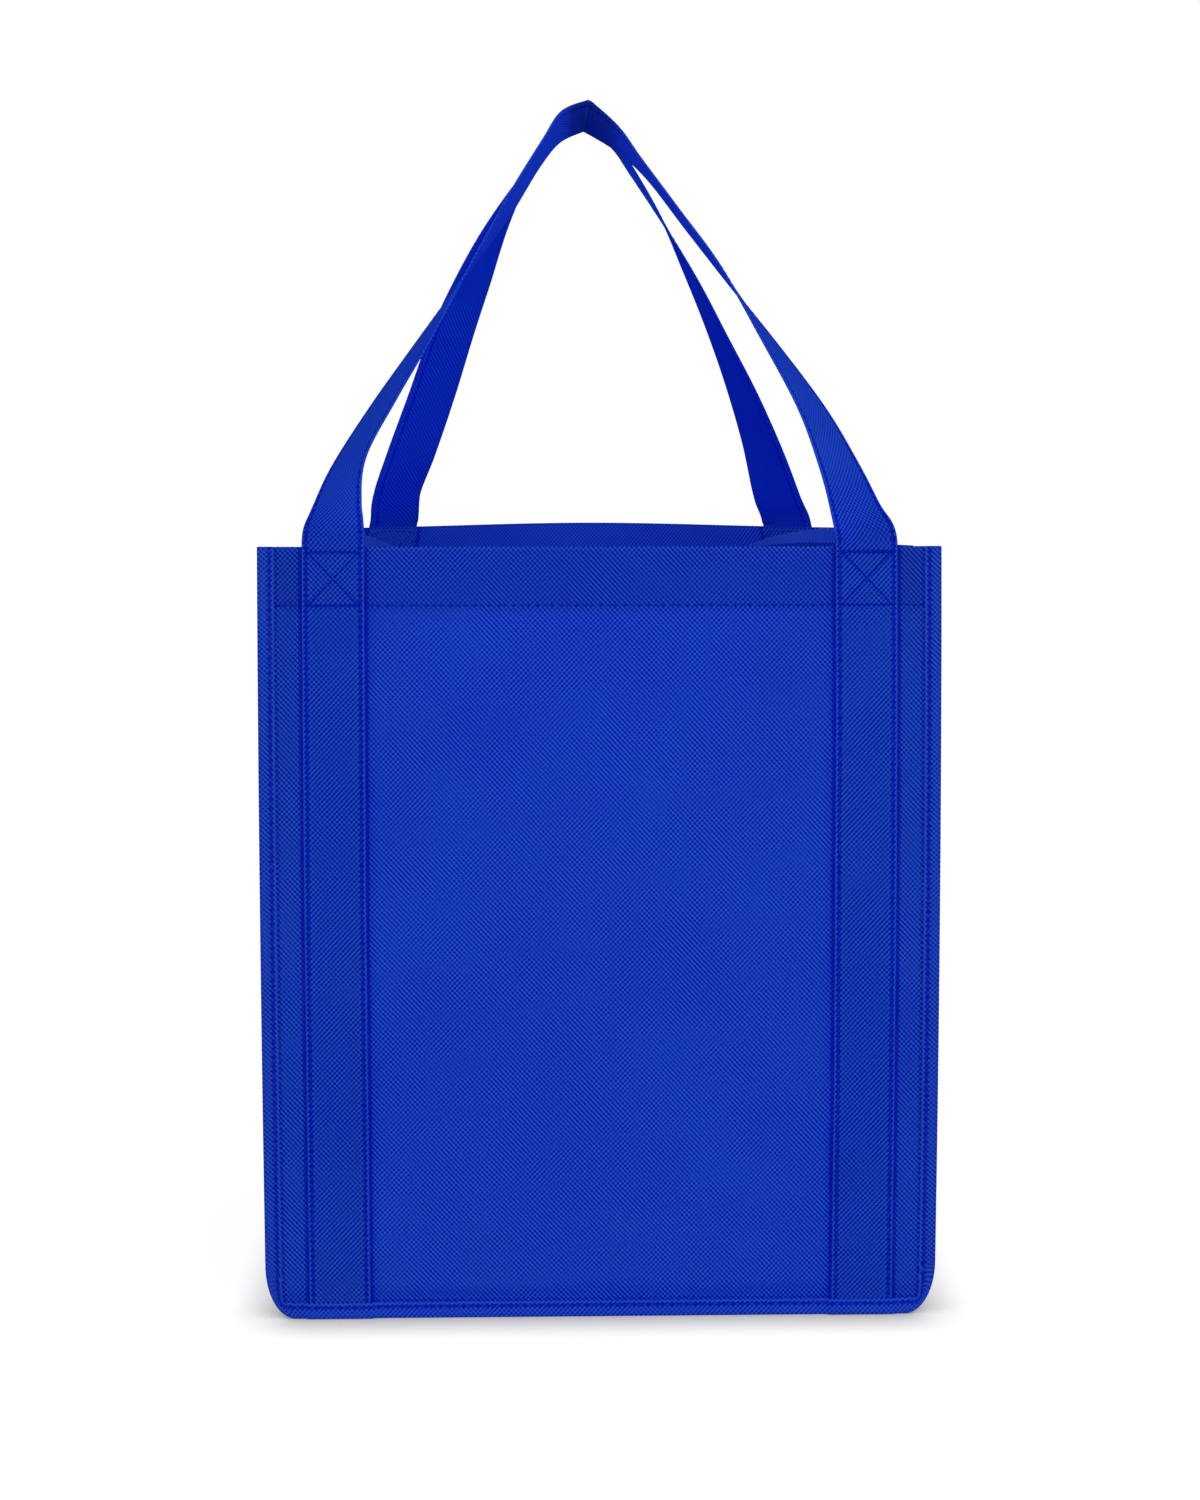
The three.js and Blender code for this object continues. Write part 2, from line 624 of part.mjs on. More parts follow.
// Loose stiff sheet on the bottom, with cut corners so that it drops in.
function bottomBoard() {
  const x = FLAT_HALF + FIN - BOARD_CLEAR_X;
  const y = HALF_DEPTH - BOARD_CLEAR_Y;
  const cut = 6;
  const shape = new THREE.Shape([
    new THREE.Vector2(-x + cut, -y), new THREE.Vector2(x - cut, -y), new THREE.Vector2(x, -y + cut),
    new THREE.Vector2(x, y - cut), new THREE.Vector2(x - cut, y), new THREE.Vector2(-x + cut, y),
    new THREE.Vector2(-x, y - cut), new THREE.Vector2(-x, -y + cut),
  ]);
  const geometry = new THREE.ExtrudeGeometry(shape, { depth: BOARD_THICK, bevelEnabled: false });
  geometry.translate(0, 0, FIN + CLOTH / 2 + GAP);
  geometry.deleteAttribute('uv');
  geometry.deleteAttribute('normal');
  addMesh('bottom_board', outward(mergeVertices(geometry, 1e-4)), 0x152a6e, 0.6);
}

panel(-1);
panel(1);
gusset();
binding(-1);
binding(1);
handle(-1);
handle(1);
bottomBoard();
for (const side of [-1, 1]) {
  hemThreads(side);
  bindingThread(side);
  crossThread(side, -STRAP_FROM_CENTRE);
  crossThread(side, STRAP_FROM_CENTRE);
}

// The whole bag is moved so that the centre of its footprint box is the origin.
const bounds = new THREE.Box3().setFromObject(group);
const shift = new THREE.Vector3(-(bounds.min.x + bounds.max.x) / 2, -(bounds.min.y + bounds.max.y) / 2, -bounds.min.z);
group.children.forEach((mesh) => mesh.geometry.translate(shift.x, shift.y, shift.z));

export default group;
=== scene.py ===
# %% [markdown]
# # A non-woven tote bag
# The bag is cut from thin felted plastic cloth: a front, a back and one long strip that is both sides and
# the bottom. Folded tape binds the two seams, and two straps run up the walls and round into handles.
# It could be a few flat boxes, but cloth reads as cloth only if each layer is a thin bent sheet of its own.
# So every piece here is a surface worked out from the bag's sizes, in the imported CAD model's frame.

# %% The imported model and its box
import bpy
import numpy as np
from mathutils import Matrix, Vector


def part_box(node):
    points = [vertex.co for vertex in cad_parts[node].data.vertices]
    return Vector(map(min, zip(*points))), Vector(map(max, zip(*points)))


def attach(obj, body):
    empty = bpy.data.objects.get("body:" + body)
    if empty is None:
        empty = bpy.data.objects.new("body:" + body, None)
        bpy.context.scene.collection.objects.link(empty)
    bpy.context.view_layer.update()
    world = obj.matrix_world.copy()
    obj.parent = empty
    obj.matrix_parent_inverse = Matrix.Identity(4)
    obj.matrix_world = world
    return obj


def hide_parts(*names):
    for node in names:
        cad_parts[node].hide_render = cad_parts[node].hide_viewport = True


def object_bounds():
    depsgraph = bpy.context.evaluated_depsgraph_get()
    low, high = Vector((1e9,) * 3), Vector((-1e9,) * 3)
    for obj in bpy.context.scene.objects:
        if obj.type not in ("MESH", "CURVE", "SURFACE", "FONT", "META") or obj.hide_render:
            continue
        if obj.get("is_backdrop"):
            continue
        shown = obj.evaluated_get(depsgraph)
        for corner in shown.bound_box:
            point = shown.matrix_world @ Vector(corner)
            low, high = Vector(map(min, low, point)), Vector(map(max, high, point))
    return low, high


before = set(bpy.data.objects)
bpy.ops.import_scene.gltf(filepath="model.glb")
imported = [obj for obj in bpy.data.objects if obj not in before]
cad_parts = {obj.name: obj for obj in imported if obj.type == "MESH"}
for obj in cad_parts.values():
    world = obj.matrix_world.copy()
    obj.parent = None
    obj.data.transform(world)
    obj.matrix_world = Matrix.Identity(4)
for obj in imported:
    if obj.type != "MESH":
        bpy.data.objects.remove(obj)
cad_box = [list(map(float, corner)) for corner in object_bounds()]
print("CAD box in metres", cad_box)

# %% [markdown]
# ## Sizes
# A sewn bag has few sizes, and each layer repeats them: the wall's width and height, the seam edge that
# stands out as a fin, the tape over it, the strap. They are kept in millimetres, as the bag's cutter would
# write them, and turned into metres only when a mesh is made.

# %% The bag's sizes in millimetres
FRONT_WIDTH, BODY_HEIGHT, BASE_DEPTH = 330.0, 378.0, 254.0
CREASE_IN, BACK_BOW, BOW_ROUND, BOW_FLARE = 70.0, 70.0, 30.0, 0.4
CLOTH, SNUG, FIN, TAPE_LEAF = 0.5, 0.55, 8.0, 8.4
CORNER_ACROSS, CORNER_UP, HEM, HEM_STITCH = 15.0, 27.0, 30.0, 28.0
STRAP_WIDTH, STRAP_THICK, STRAP_FROM_CENTRE, STRAP_END = 30.0, 1.0, 128.5, 1.2
STRAP_OUT = CLOTH / 2 + 0.05 + STRAP_THICK / 2
STITCH_PITCH, STITCH_LONG = 3.8, 2.7
BOX_TOP, BOX_HALF = 2.6, 12.2
STRAP_ROW, TAPE_ROW, TAPE_STEP = 13.0, 6.1, 1.27
OTHER_FACE = 32.0
HALF_WIDTH = FRONT_WIDTH / 2
SEAM_HALF, HALF_DEPTH, EDGE_WRAP = HALF_WIDTH - FIN, BASE_DEPTH / 2, 0.8
FLAT_HALF = HALF_WIDTH - CORNER_ACROSS
front_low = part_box("front_panel")[0][1] * 1000
ORIGIN = np.array([0.0, front_low + HALF_DEPTH + CLOTH / 2, 0.0])
print("centre of the base is", round(ORIGIN[1], 2), "mm from the frame's origin")

# %% [markdown]
# ## The camera
# The photograph was taken from a little over a metre away, a bit above the rim and looking slightly down,
# which is why a thin line of the back rim shows over the front one. The lens and the place are set to give
# that view, so that every piece can be compared with the photograph in the same pixels.

# %% The camera at the photograph's angle
camera_data = bpy.data.cameras.new("photo_camera")
camera_data.sensor_fit, camera_data.sensor_height, camera_data.lens = "VERTICAL", 36.0, 58.52
camera_data.clip_end = 50
camera = bpy.data.objects.new("photo_camera", camera_data)
bpy.context.scene.collection.objects.link(camera)
camera.location = np.array([-29.14, -1282.53, 437.16]) / 1000 + ORIGIN / 1000
camera.rotation_euler = (np.radians(90 - 7.65), 0, np.radians(-1.41))
bpy.context.scene.camera = camera
bpy.context.scene.view_settings.view_transform = "Standard"
print("camera at", [round(v, 3) for v in camera.location])

# %% [markdown]
# ## How the cloth stands
# An empty bag stands on its bottom seams. Higher up, each side folds inwards along a crease, which pulls the
# front and back together, and the loose back wall bows out. The walls keep their cut width while they bend.
# One function gives the place of any point of a wall from where it lies on the flat cloth, so that tape,
# straps and thread can use the same function and always lie on the cloth.

# %% Where a point of a wall is
def rise(z):
    """Height as a fraction from the bottom seam to the rim, never below zero."""
    return np.maximum(0, (z - FIN) / (BODY_HEIGHT - FIN))


def half_depth(z):
    """Half the depth between the seams: the long side of a right triangle is the half side wall."""
    return np.sqrt(HALF_DEPTH**2 - (CREASE_IN * rise(z)) ** 2)


def bow_shape(s):
    """Outward bow from 1 in the middle to 0 at the seams: part rounded V, part one wave of a cosine."""
    vee = 1 - (np.hypot(s, BOW_ROUND) - BOW_ROUND) / (np.hypot(SEAM_HALF, BOW_ROUND) - BOW_ROUND)
    wave = (1 + np.cos(np.pi * np.minimum(np.abs(s), SEAM_HALF) / SEAM_HALF)) / 2
    return (1 - BOW_FLARE) * vee + BOW_FLARE * wave


def bow_slope(s):
    """How fast the bow changes along the cloth: the V's slope and the wave's slope, added."""
    vee = -s / np.hypot(s, BOW_ROUND) / (np.hypot(SEAM_HALF, BOW_ROUND) - BOW_ROUND)
    inside = np.clip(s, -SEAM_HALF, SEAM_HALF)
    wave = -np.sin(np.pi * inside / SEAM_HALF) * np.pi / SEAM_HALF / 2
    return (1 - BOW_FLARE) * vee + BOW_FLARE * wave


def place(side, s, z, out=0.0):
    """Point of a wall: s along its cloth, z up, out from its middle. On the back, each small step of cloth
    goes sideways by what its slope leaves of its length, so the cloth isn't stretched."""
    s, z, out = np.broadcast_arrays(*(np.asarray(a, float) for a in (s, z, out)))
    if side < 0:
        return np.stack([s, -half_depth(z) - out, z], -1)
    bow = BACK_BOW * rise(z) ** 2
    steps = (np.arange(24) + 0.5) / 24
    x = s * np.sqrt(1 - (bow[..., None] * bow_slope(s[..., None] * steps)) ** 2).mean(-1)
    tilt = bow * bow_slope(s)
    return np.stack([x - tilt * out, half_depth(z) + bow * bow_shape(s) + np.sqrt(1 - tilt**2) * out, z], -1)


print("half width of the back rim", round(float(place(1, SEAM_HALF, BODY_HEIGHT)[0]), 1), "mm")

# %% [markdown]
# ## Slack in the cloth
# No sewn sheet is quite flat. Broad shallow waves run over it, and each line of stitches draws it into small
# puckers. Waves of a few lengths in fixed directions are enough, faded out at the seams, which hold the
# cloth straight. Everything on the wall follows the same slack.

# %% Waves and puckers
def slack(side, s, z):
    """Sum of sine waves of four lengths, each in its own direction, faded to nothing at the seams and rim."""
    rng = np.random.default_rng(7 if side < 0 else 11)
    waves = 0.0
    for wave in (170.0, 105.0, 66.0, 41.0):
        turn, phase = rng.uniform(0, np.pi), rng.uniform(0, 2 * np.pi)
        waves = waves + wave / 170 * np.sin(2 * np.pi * (s * np.cos(turn) + z * np.sin(turn)) / wave + phase)
    across = np.clip((SEAM_HALF - np.abs(s)) / 50, 0, 1)
    up = np.clip((z - FIN) / 60, 0, 1) * np.clip((BODY_HEIGHT - z) / 60, 0, 1)
    ease = lambda f: f * f * (3 - 2 * f)
    return (0.55 if side < 0 else 1.2) * waves * ease(across) * ease(up)


def pucker(distance, along, deep=0.1):
    """Ripples about two stitches long that die away a few millimetres from the line."""
    ripple = np.sin(2 * np.pi * along / (2 * STITCH_PITCH)) + 0.6 * np.sin(2 * np.pi * along / 19 + 1)
    return deep * ripple * np.exp(-((distance / 3.5) ** 2))


print("slack at the middle of the front", round(float(slack(-1, 0.0, 190.0)), 2), "mm")

# %% [markdown]
# ## Cloth as a mesh
# A sheet is a grid of points in the middle of its thickness. The two faces are that grid moved half the
# thickness either way along its normals, and a narrow wall closes them all round. Doing this by hand, in
# place of a modifier, keeps the rim crisp and lets parts of the grid be left out, as at a trimmed hem.

# %% From a grid to a closed sheet
def grid_normals(middle):
    """Cross product of the two directions of the grid at each point, made one long."""
    across = np.gradient(middle, axis=1)
    up = np.gradient(middle, axis=0)
    normal = np.cross(across, up)
    return normal / np.maximum(np.linalg.norm(normal, axis=-1, keepdims=True), 1e-12)


def tube_faces(rows, cols):
    """Faces of a tube whose points are numbered ring by ring, each ring joined to the next."""
    number = np.arange(rows * cols).reshape(rows, cols)
    beside = np.roll(number, -1, 1)
    return np.stack([number[:-1], beside[:-1], beside[1:], number[1:]], -1).reshape(-1, 4)


def build(name, points, quads, uv, replaced=(), smooth=None):
    """Mesh from millimetre points, four-cornered faces and a UV for each point. All faces are smooth where
    smooth isn't given."""
    smooth = np.ones(len(quads), bool) if smooth is None else smooth
    used, quads = np.unique(quads, return_inverse=True)
    quads = quads.reshape(-1, 4)
    points, uv = points[used], uv[used]
    a, b, c, d = (points[quads[:, k]] for k in range(4))
    if np.einsum("ij,ij->i", a, np.cross(b, c) + np.cross(c, d)).sum() < 0:
        quads = quads[:, ::-1]
    mesh = bpy.data.meshes.new(name)
    mesh.vertices.add(len(points))
    mesh.loops.add(quads.size)
    mesh.polygons.add(len(quads))
    mesh.vertices.foreach_set("co", ((points + ORIGIN) / 1000).ravel())
    mesh.loops.foreach_set("vertex_index", quads.ravel())
    mesh.polygons.foreach_set("loop_start", np.arange(0, quads.size, 4))
    mesh.polygons.foreach_set("use_smooth", smooth)
    mesh.uv_layers.new(name="cloth").data.foreach_set("uv", (uv[quads.ravel()] / 1000).ravel())
    mesh.update(calc_edges=True)
    mesh.validate()
    piece = bpy.data.objects.new(name, mesh)
    bpy.context.scene.collection.objects.link(piece)
    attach(piece, "root")
    if replaced:
        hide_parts(*replaced)
    print(name, len(quads), "faces")
    return piece


def sheet_mesh(name, middle, uv, replaced=(), keep=None):
    """Closed sheet round a grid of middle points, with the cells that are kept."""
    rows, cols = middle.shape[0] - 1, middle.shape[1] - 1
    keep = np.ones((rows, cols), bool) if keep is None else keep
    normal = grid_normals(middle)
    faces_at = (middle + normal * CLOTH / 2, middle - normal * CLOTH / 2)
    points = np.concatenate([face.reshape(-1, 3) for face in faces_at])
    number = np.arange((rows + 1) * (cols + 1)).reshape(rows + 1, cols + 1)
    under = number + number.size
    corner = lambda n: (n[:-1, :-1], n[:-1, 1:], n[1:, 1:], n[1:, :-1])
    faces = np.stack(corner(number), -1)[keep], np.stack(corner(under)[::-1], -1)[keep]
    padded = np.pad(keep, 1)
    walls = []
    for (i, j), (p, q) in {(0, 1): (0, 1), (1, 2): (1, 2), (2, 1): (2, 3), (1, 0): (3, 0)}.items():
        edge = keep & ~padded[i : i + rows, j : j + cols]
        top, low = corner(number), corner(under)
        walls.append(np.stack([top[p][edge], low[p][edge], low[q][edge], top[q][edge]], -1))
    walls = np.concatenate(walls)
    smooth = np.r_[np.ones(len(faces[0]) + len(faces[1]), bool), np.zeros(len(walls), bool)]
    flat = np.tile(uv.reshape(-1, 2), (2, 1))
    return build(name, points, np.concatenate([*faces, walls]), flat, replaced, smooth)


# %% [markdown]
# ## Non-woven cloth
# Spun-bonded cloth is a mat of plastic fibres pressed together at rows of tiny points set like diamonds.
# The fibres between the points catch the light, and the points and every seam groove lie in shade.
# That light and shade is painted: one tone, worked out from the cloth's own UV map, mixes a deep and a light
# blue. Thin cloth also lets light through: a Translucent shader under the plain one gives the strong blue of
# the parts that are lit from behind.

# %% Node helpers
def node(tree, kind, inputs=(), **settings):
    """A new node with its settings, and its inputs linked or set."""
    made = tree.nodes.new(kind)
    for key, value in settings.items():
        setattr(made, key, value)
    for key, value in dict(inputs).items():
        if isinstance(value, bpy.types.NodeSocket):
            tree.links.new(value, made.inputs[key])
        else:
            made.inputs[key].default_value = value
    return made


def maths(tree, operation, *values):
    """One step of arithmetic on sockets and numbers."""
    return node(tree, "ShaderNodeMath", enumerate(values), operation=operation).outputs[0]


def times(tree, a, b):
    return maths(tree, "MULTIPLY", a, b)


def ramp(tree, value, start, end, low, high):
    """Goes straight from low at start to high at end, and stays level outside."""
    return node(tree, "ShaderNodeMapRange", {0: value, 1: start, 2: end, 3: low, 4: high}).outputs[0]


def scaled(tree, colour, share):
    """A colour times a number."""
    return node(tree, "ShaderNodeVectorMath", {0: colour, "Scale": share}, operation="SCALE").outputs[0]


def bell(tree, value, centre, width):
    """1 at the centre, falling off on both sides as exp(-(distance / width) squared)."""
    away = maths(tree, "DIVIDE", maths(tree, "SUBTRACT", value, centre), width)
    return maths(tree, "EXPONENT", times(tree, times(tree, away, away), -1.0))


def beats(tree, value, least):
    """Rises and falls once a stitch, from least to 1."""
    turns = maths(tree, "COSINE", times(tree, value, 2 * np.pi / STITCH_PITCH))
    return maths(tree, "MULTIPLY_ADD", turns, (1 - least) / 2, (1 + least) / 2)


def total(tree, *values):
    """Sum of sockets."""
    result = values[0]
    for value in values[1:]:
        result = maths(tree, "ADD", result, value)
    return result


def weighted(tree, *pairs):
    """Sum of sockets, each times its weight."""
    return total(tree, *(times(tree, value, weight) for value, weight in pairs))


def blank(name):
    """A new material, its tree, its plain shader and its output."""
    material = bpy.data.materials.new(name)
    material.use_nodes = True
    tree = material.node_tree
    return material, tree, tree.nodes["Principled BSDF"], tree.nodes["Material Output"]


def cloth_map(tree):
    """The piece's own UV map, across and along the flat cloth, in metres."""
    flat = node(tree, "ShaderNodeSeparateXYZ", {0: node(tree, "ShaderNodeUVMap", uv_map="cloth").outputs[0]})
    return flat.outputs[0], flat.outputs[1]


def noise(tree, spot, scale, detail, offset=0.0):
    """Noise in the object's space, moved sideways so that no two patterns are alike."""
    moved = node(tree, "ShaderNodeVectorMath", {0: spot, 1: (offset, 0, 0)}, operation="ADD").outputs[0]
    return node(tree, "ShaderNodeTexNoise", {"Vector": moved, "Scale": scale, "Detail": detail}).outputs[0]


def roughen(tree, shader, height, strength, distance):
    """Gives the shader a bump of that height."""
    bump = node(tree, "ShaderNodeBump", {"Height": height, "Strength": strength, "Distance": distance})
    tree.links.new(bump.outputs[0], shader.inputs["Normal"])


# %% The cloth's material
THROUGH, THROUGH_BLUE = 0.50, (0.0005, 0.012, 0.94)
LATTICE_ACROSS, LATTICE_UP = 2.33, 2.50
LATTICE, FIBRES, CLOUDS = 0.95, 0.35, 0.25
WAVES = (("ADD", 3.0, 0.6, 1.25), ("SUBTRACT", 7.0, 0.2, 0.95))
DEEP_BLUE_AND_SHADE = (0.0006, 0.0110, 0.395)


def let_light_through(tree, shader, output, colour):
    """Half plain shader, half Translucent: the part of the light that comes from behind."""
    glow = node(tree, "ShaderNodeBsdfTranslucent", {"Color": colour})
    both = node(tree, "ShaderNodeMixShader", {0: THROUGH, 1: shader.outputs[0], 2: glow.outputs[0]})
    tree.links.new(both.outputs[0], output.inputs["Surface"])


def felted(name, light, marks=None, sheen=0.04):
    """Tone = half + lattice + fibres + clouds + lines. The lattice is two crossed waves, at 45 degrees to the
    cloth, each stronger in some patches than in others; its light and deep parts are partly painted light on
    the fibres and painted shade in the bond points. marks(tree, u, v), in millimetres, gives the lines,
    painted shade and painted highlights, and a painted shade, which takes the light off both shaders: 0 for
    none, 1 for black."""
    material, tree, shader, output = blank(name)
    u, v = (times(tree, metres, 1000.0) for metres in cloth_map(tree))
    spot = node(tree, "ShaderNodeTexCoord").outputs["Object"]
    across, up = times(tree, u, 2 * np.pi / LATTICE_ACROSS), times(tree, v, 2 * np.pi / LATTICE_UP)
    waves = []
    for kind, offset, least, most in WAVES:
        patch = ramp(tree, noise(tree, spot, 34.0, 2.0, offset), 0.35, 0.62, least, most)
        waves.append(times(tree, maths(tree, "COSINE", maths(tree, kind, across, up)), patch))
    net = times(tree, total(tree, *waves), 0.5)
    fibre = maths(tree, "SUBTRACT", noise(tree, spot, 1500.0, 3.0), 0.5)
    cloud = maths(tree, "SUBTRACT", noise(tree, spot, 16.0, 4.0, 11.0), 0.5)
    line, shade = marks(tree, u, v) if marks else (0.0, 0.0)
    tone = total(tree, weighted(tree, (net, LATTICE), (fibre, FIBRES), (cloud, CLOUDS)), line)
    tone = ramp(tree, tone, -0.5, 0.5, 0.0, 1.0)
    # Deep blue: the cloth's own deep tone and painted shade. Light blue: lit fibres and painted highlights.
    mix = node(tree, "ShaderNodeMix", {0: tone, 6: (*DEEP_BLUE_AND_SHADE, 1), 7: (*light, 1)}, data_type="RGBA")
    left = maths(tree, "SUBTRACT", 1.0, shade)
    tree.links.new(scaled(tree, mix.outputs[2], left), shader.inputs["Base Color"])
    roughen(tree, shader, weighted(tree, (net, 0.05), (fibre, 0.012), (line, 0.12)), 0.8, 0.001)
    shader.inputs["Roughness"].default_value = 0.62
    shader.inputs["Specular IOR Level"].default_value = sheen
    let_light_through(tree, shader, output, scaled(tree, THROUGH_BLUE, left))
    return material


# %% [markdown]
# ## Lines that the seams leave
# A strap edge throws a thin shadow on the wall beside it, the tape does the same, and each stitch hole lies
# in shade. These lines are far narrower than the mesh's faces, so they are painted by the material as painted
# shadow and shade: a bell-shaped dip in the tone at a distance from each line, broken up once a stitch where
# it follows thread. Edges and folds that catch the light get painted highlights the same way.

# %% The lines on walls, straps and tape
STRAP_SHADOW, TAPE_SHADOW = STRAP_WIDTH / 2 + 0.8, 9.1


def wall_marks(tree, u, v):
    """Painted shadows beside the straps and the tape, painted shade in the hem's stitch holes, above the
    bottom tape and where layers lie behind, a painted highlight along the rim's fold, painted light on the
    inside face, and painted light, a little more at the bottom and a little less towards the rim, so that the
    wall is as even as in the photograph."""
    aside = maths(tree, "ABSOLUTE", u)
    inner, outer = STRAP_FROM_CENTRE - STRAP_SHADOW, STRAP_FROM_CENTRE + STRAP_SHADOW
    # Painted shadows of the strap edges on the wall, with a wider painted shade on the inner side.
    beside = total(tree, bell(tree, aside, inner, 0.85), bell(tree, aside, outer, 0.85),
                   times(tree, bell(tree, aside, inner - 0.7, 3.2), 0.17))
    # Painted shadows of the tape's inner edge, dotted where the tape puckers.
    tape_side = times(tree, bell(tree, aside, HALF_WIDTH - TAPE_SHADOW, 0.6), beats(tree, v, 0.3))
    tape_low = times(tree, bell(tree, v, TAPE_SHADOW, 0.7), beats(tree, u, 0.3))
    hem_line = BODY_HEIGHT - HEM_STITCH
    # Painted shade in the hem's stitch holes, outside and inside.
    hem = times(tree, bell(tree, v, hem_line - 0.2, 0.5), beats(tree, u, 0.0))
    inner_hem = times(tree, bell(tree, v, BODY_HEIGHT + HEM_STITCH, 0.5), beats(tree, u, 0.2))
    # Painted shade above the hem's stitches, where two layers let less light through; painted light on the
    # inside face.
    doubled = maths(tree, "GREATER_THAN", v, hem_line)
    inner_face = maths(tree, "GREATER_THAN", v, BODY_HEIGHT + 1)
    # Painted shade above the bottom tape and below the hem's stitches, and a painted highlight along the
    # rim's fold.
    shaded = total(tree, bell(tree, v, 12.5, 3.0), times(tree, bell(tree, v, hem_line - 1, 2.5), 0.5))
    fold = bell(tree, v, BODY_HEIGHT - 0.8, 0.9)
    line = weighted(tree, (shaded, -0.15), (fold, 0.2), (beside, -0.85), (tape_side, -0.45),
                    (tape_low, -0.45), (hem, -0.8), (inner_hem, -0.7), (doubled, -0.10), (inner_face, 0.15))
    # Painted shade on the strips outside the straps, where the seam's layers lie behind, and painted light
    # that is more at the bottom and less towards the rim.
    strip = maths(tree, "GREATER_THAN", aside, outer)
    climb = ramp(tree, v, 0.0, BODY_HEIGHT, -0.05, 0.04)
    return line, total(tree, weighted(tree, (strip, 0.08), (doubled, 0.03), (inner_face, -0.2)), climb)


def strap_marks(length, crest, loop_light):
    """Painted shade in the stitch rows and painted highlights on the standing edges along a strap, painted
    shade in a crossed box where each end is sewn to the hem, a painted shade where it bends away from the
    rim, and the painted shade in the fold at the top with its thin painted highlight. The loop gets painted
    light, more than the flat run by the amount given as the third argument."""
    def marks(tree, u, v):
        aside = maths(tree, "PINGPONG", maths(tree, "ADD", u, STRAP_WIDTH / 2), OTHER_FACE)
        aside = maths(tree, "ABSOLUTE", maths(tree, "SUBTRACT", aside, STRAP_WIDTH / 2))
        # Painted shade in the stitch rows' grooves, painted highlights on the standing edges and on the
        # puffed middle.
        rows = times(tree, bell(tree, aside, STRAP_ROW, 0.8), beats(tree, v, 0.45))
        edge = bell(tree, aside, 14.4, 0.5)
        inside = bell(tree, aside, 11.2, 0.9)
        near = maths(tree, "MINIMUM", v, maths(tree, "SUBTRACT", length, v))
        low, high = BODY_HEIGHT - HEM_STITCH - STRAP_END, BODY_HEIGHT - BOX_TOP - STRAP_END
        middle, half = (low + high) / 2, (high - low) / 2
        # Painted shade in the crossed box's stitch grooves.
        off = maths(tree, "SUBTRACT", near, middle)
        within = times(tree, maths(tree, "LESS_THAN", maths(tree, "ABSOLUTE", off), half),
                       maths(tree, "LESS_THAN", aside, 12.6))
        slope = times(tree, off, BOX_HALF / half)
        cross = maths(tree, "MAXIMUM", bell(tree, u, slope, 0.75),
                      bell(tree, times(tree, u, -1.0), slope, 0.75))
        ends = total(tree, bell(tree, near, low, 0.6), bell(tree, near, high, 0.8))
        box = total(tree, times(tree, cross, within),
                    times(tree, ends, maths(tree, "LESS_THAN", aside, STRAP_ROW)))
        # Painted highlight on the crease, painted shade in the fold, deeper on its lower side, and painted
        # shade where the strap bends away from the rim.
        ridge = bell(tree, v, crest, 0.5)
        fold = total(tree, bell(tree, v, crest - 4, 6.0), bell(tree, v, crest + 9, 12.0))
        fold = maths(tree, "MINIMUM", fold, 1.0)
        low_side = ramp(tree, u, -16.0, 16.0, 1.0, 0.7)
        at_rim = times(tree, bell(tree, near, BODY_HEIGHT + 3, 6.0), 0.12)
        # Painted light on the loop, which catches more light than the flat run.
        painted_loop_light = ramp(tree, near, BODY_HEIGHT + 4, BODY_HEIGHT + 50, 0.0, loop_light)
        line = weighted(tree, (rows, -1.1), (edge, 0.36), (inside, 0.06), (box, -0.95),
                        (ridge, 0.8), (fold, -0.3))
        return total(tree, line, painted_loop_light), total(tree, at_rim, times(tree, fold, times(tree, low_side, 0.42)))
    return marks


def tape_marks(tree, u, v):
    """Painted shade in the dotted stitch line, with a painted highlight on the tape's inner edge and painted
    light on its outer side. The run along the bottom gets painted light, more than the two up the sides."""
    # Painted shade in the stitch holes, painted highlights on the tape's inner edge and outer side.
    stitch = times(tree, bell(tree, v, 2.4, 0.75), beats(tree, u, 0.3))
    edge = bell(tree, v, 0.9, 0.5)
    outer = bell(tree, v, 5.6, 1.4)
    line = weighted(tree, (stitch, -1.2), (edge, 0.4), (outer, 0.15))
    # Painted light on the run along the bottom.
    from_middle = maths(tree, "ABSOLUTE", maths(tree, "SUBTRACT", u, BODY_HEIGHT + HALF_WIDTH - 8))
    return line, ramp(tree, from_middle, 140.0, 165.0, -0.13, 0.0)


cloth_blue = felted("panel_nonwoven", (0.0215, 0.120, 0.59), wall_marks)
tape_blue = felted("tape_nonwoven", (0.0225, 0.104, 0.54), tape_marks)
gusset_blue = felted("gusset_nonwoven", (0.020, 0.112, 0.60))
print("materials", [m.name for m in (cloth_blue, tape_blue, gusset_blue)])

# %% [markdown]
# ## Front and back walls
# Each wall is one rectangle with rounded lower corners. At the top it is folded down inside as a hem 30 mm
# deep. The grid runs up the outside, over the fold and down the inside, which gives the fold its real
# roundness. The hem is cut a little narrower than the wall, so those cells are left out.

# %% The two walls
FOLD_RADIUS = SNUG / 2
FOLD_TOP = BODY_HEIGHT - CLOTH / 2 - FOLD_RADIUS


def hem_rows():
    """Heights, distances inside and lengths of cloth past the fold: half a circle, then straight down."""
    turn = np.linspace(0, np.pi, 7)[1:]
    down = np.linspace(0, HEM, 14)[1:]
    z = np.r_[FOLD_TOP + FOLD_RADIUS * np.sin(turn), FOLD_TOP - down]
    inside = np.r_[FOLD_RADIUS * (1 - np.cos(turn)), np.full(down.size, SNUG)]
    return z, inside, np.r_[FOLD_RADIUS * turn, FOLD_RADIUS * np.pi + down]


def corner_inset(z, inset):
    """How far the cut corner, a quarter of an ellipse, comes in at a height."""
    part = np.clip((CORNER_UP - z) / (CORNER_UP - inset), 0, 1)
    return (CORNER_ACROSS - inset) * (1 - np.sqrt(1 - part**2))


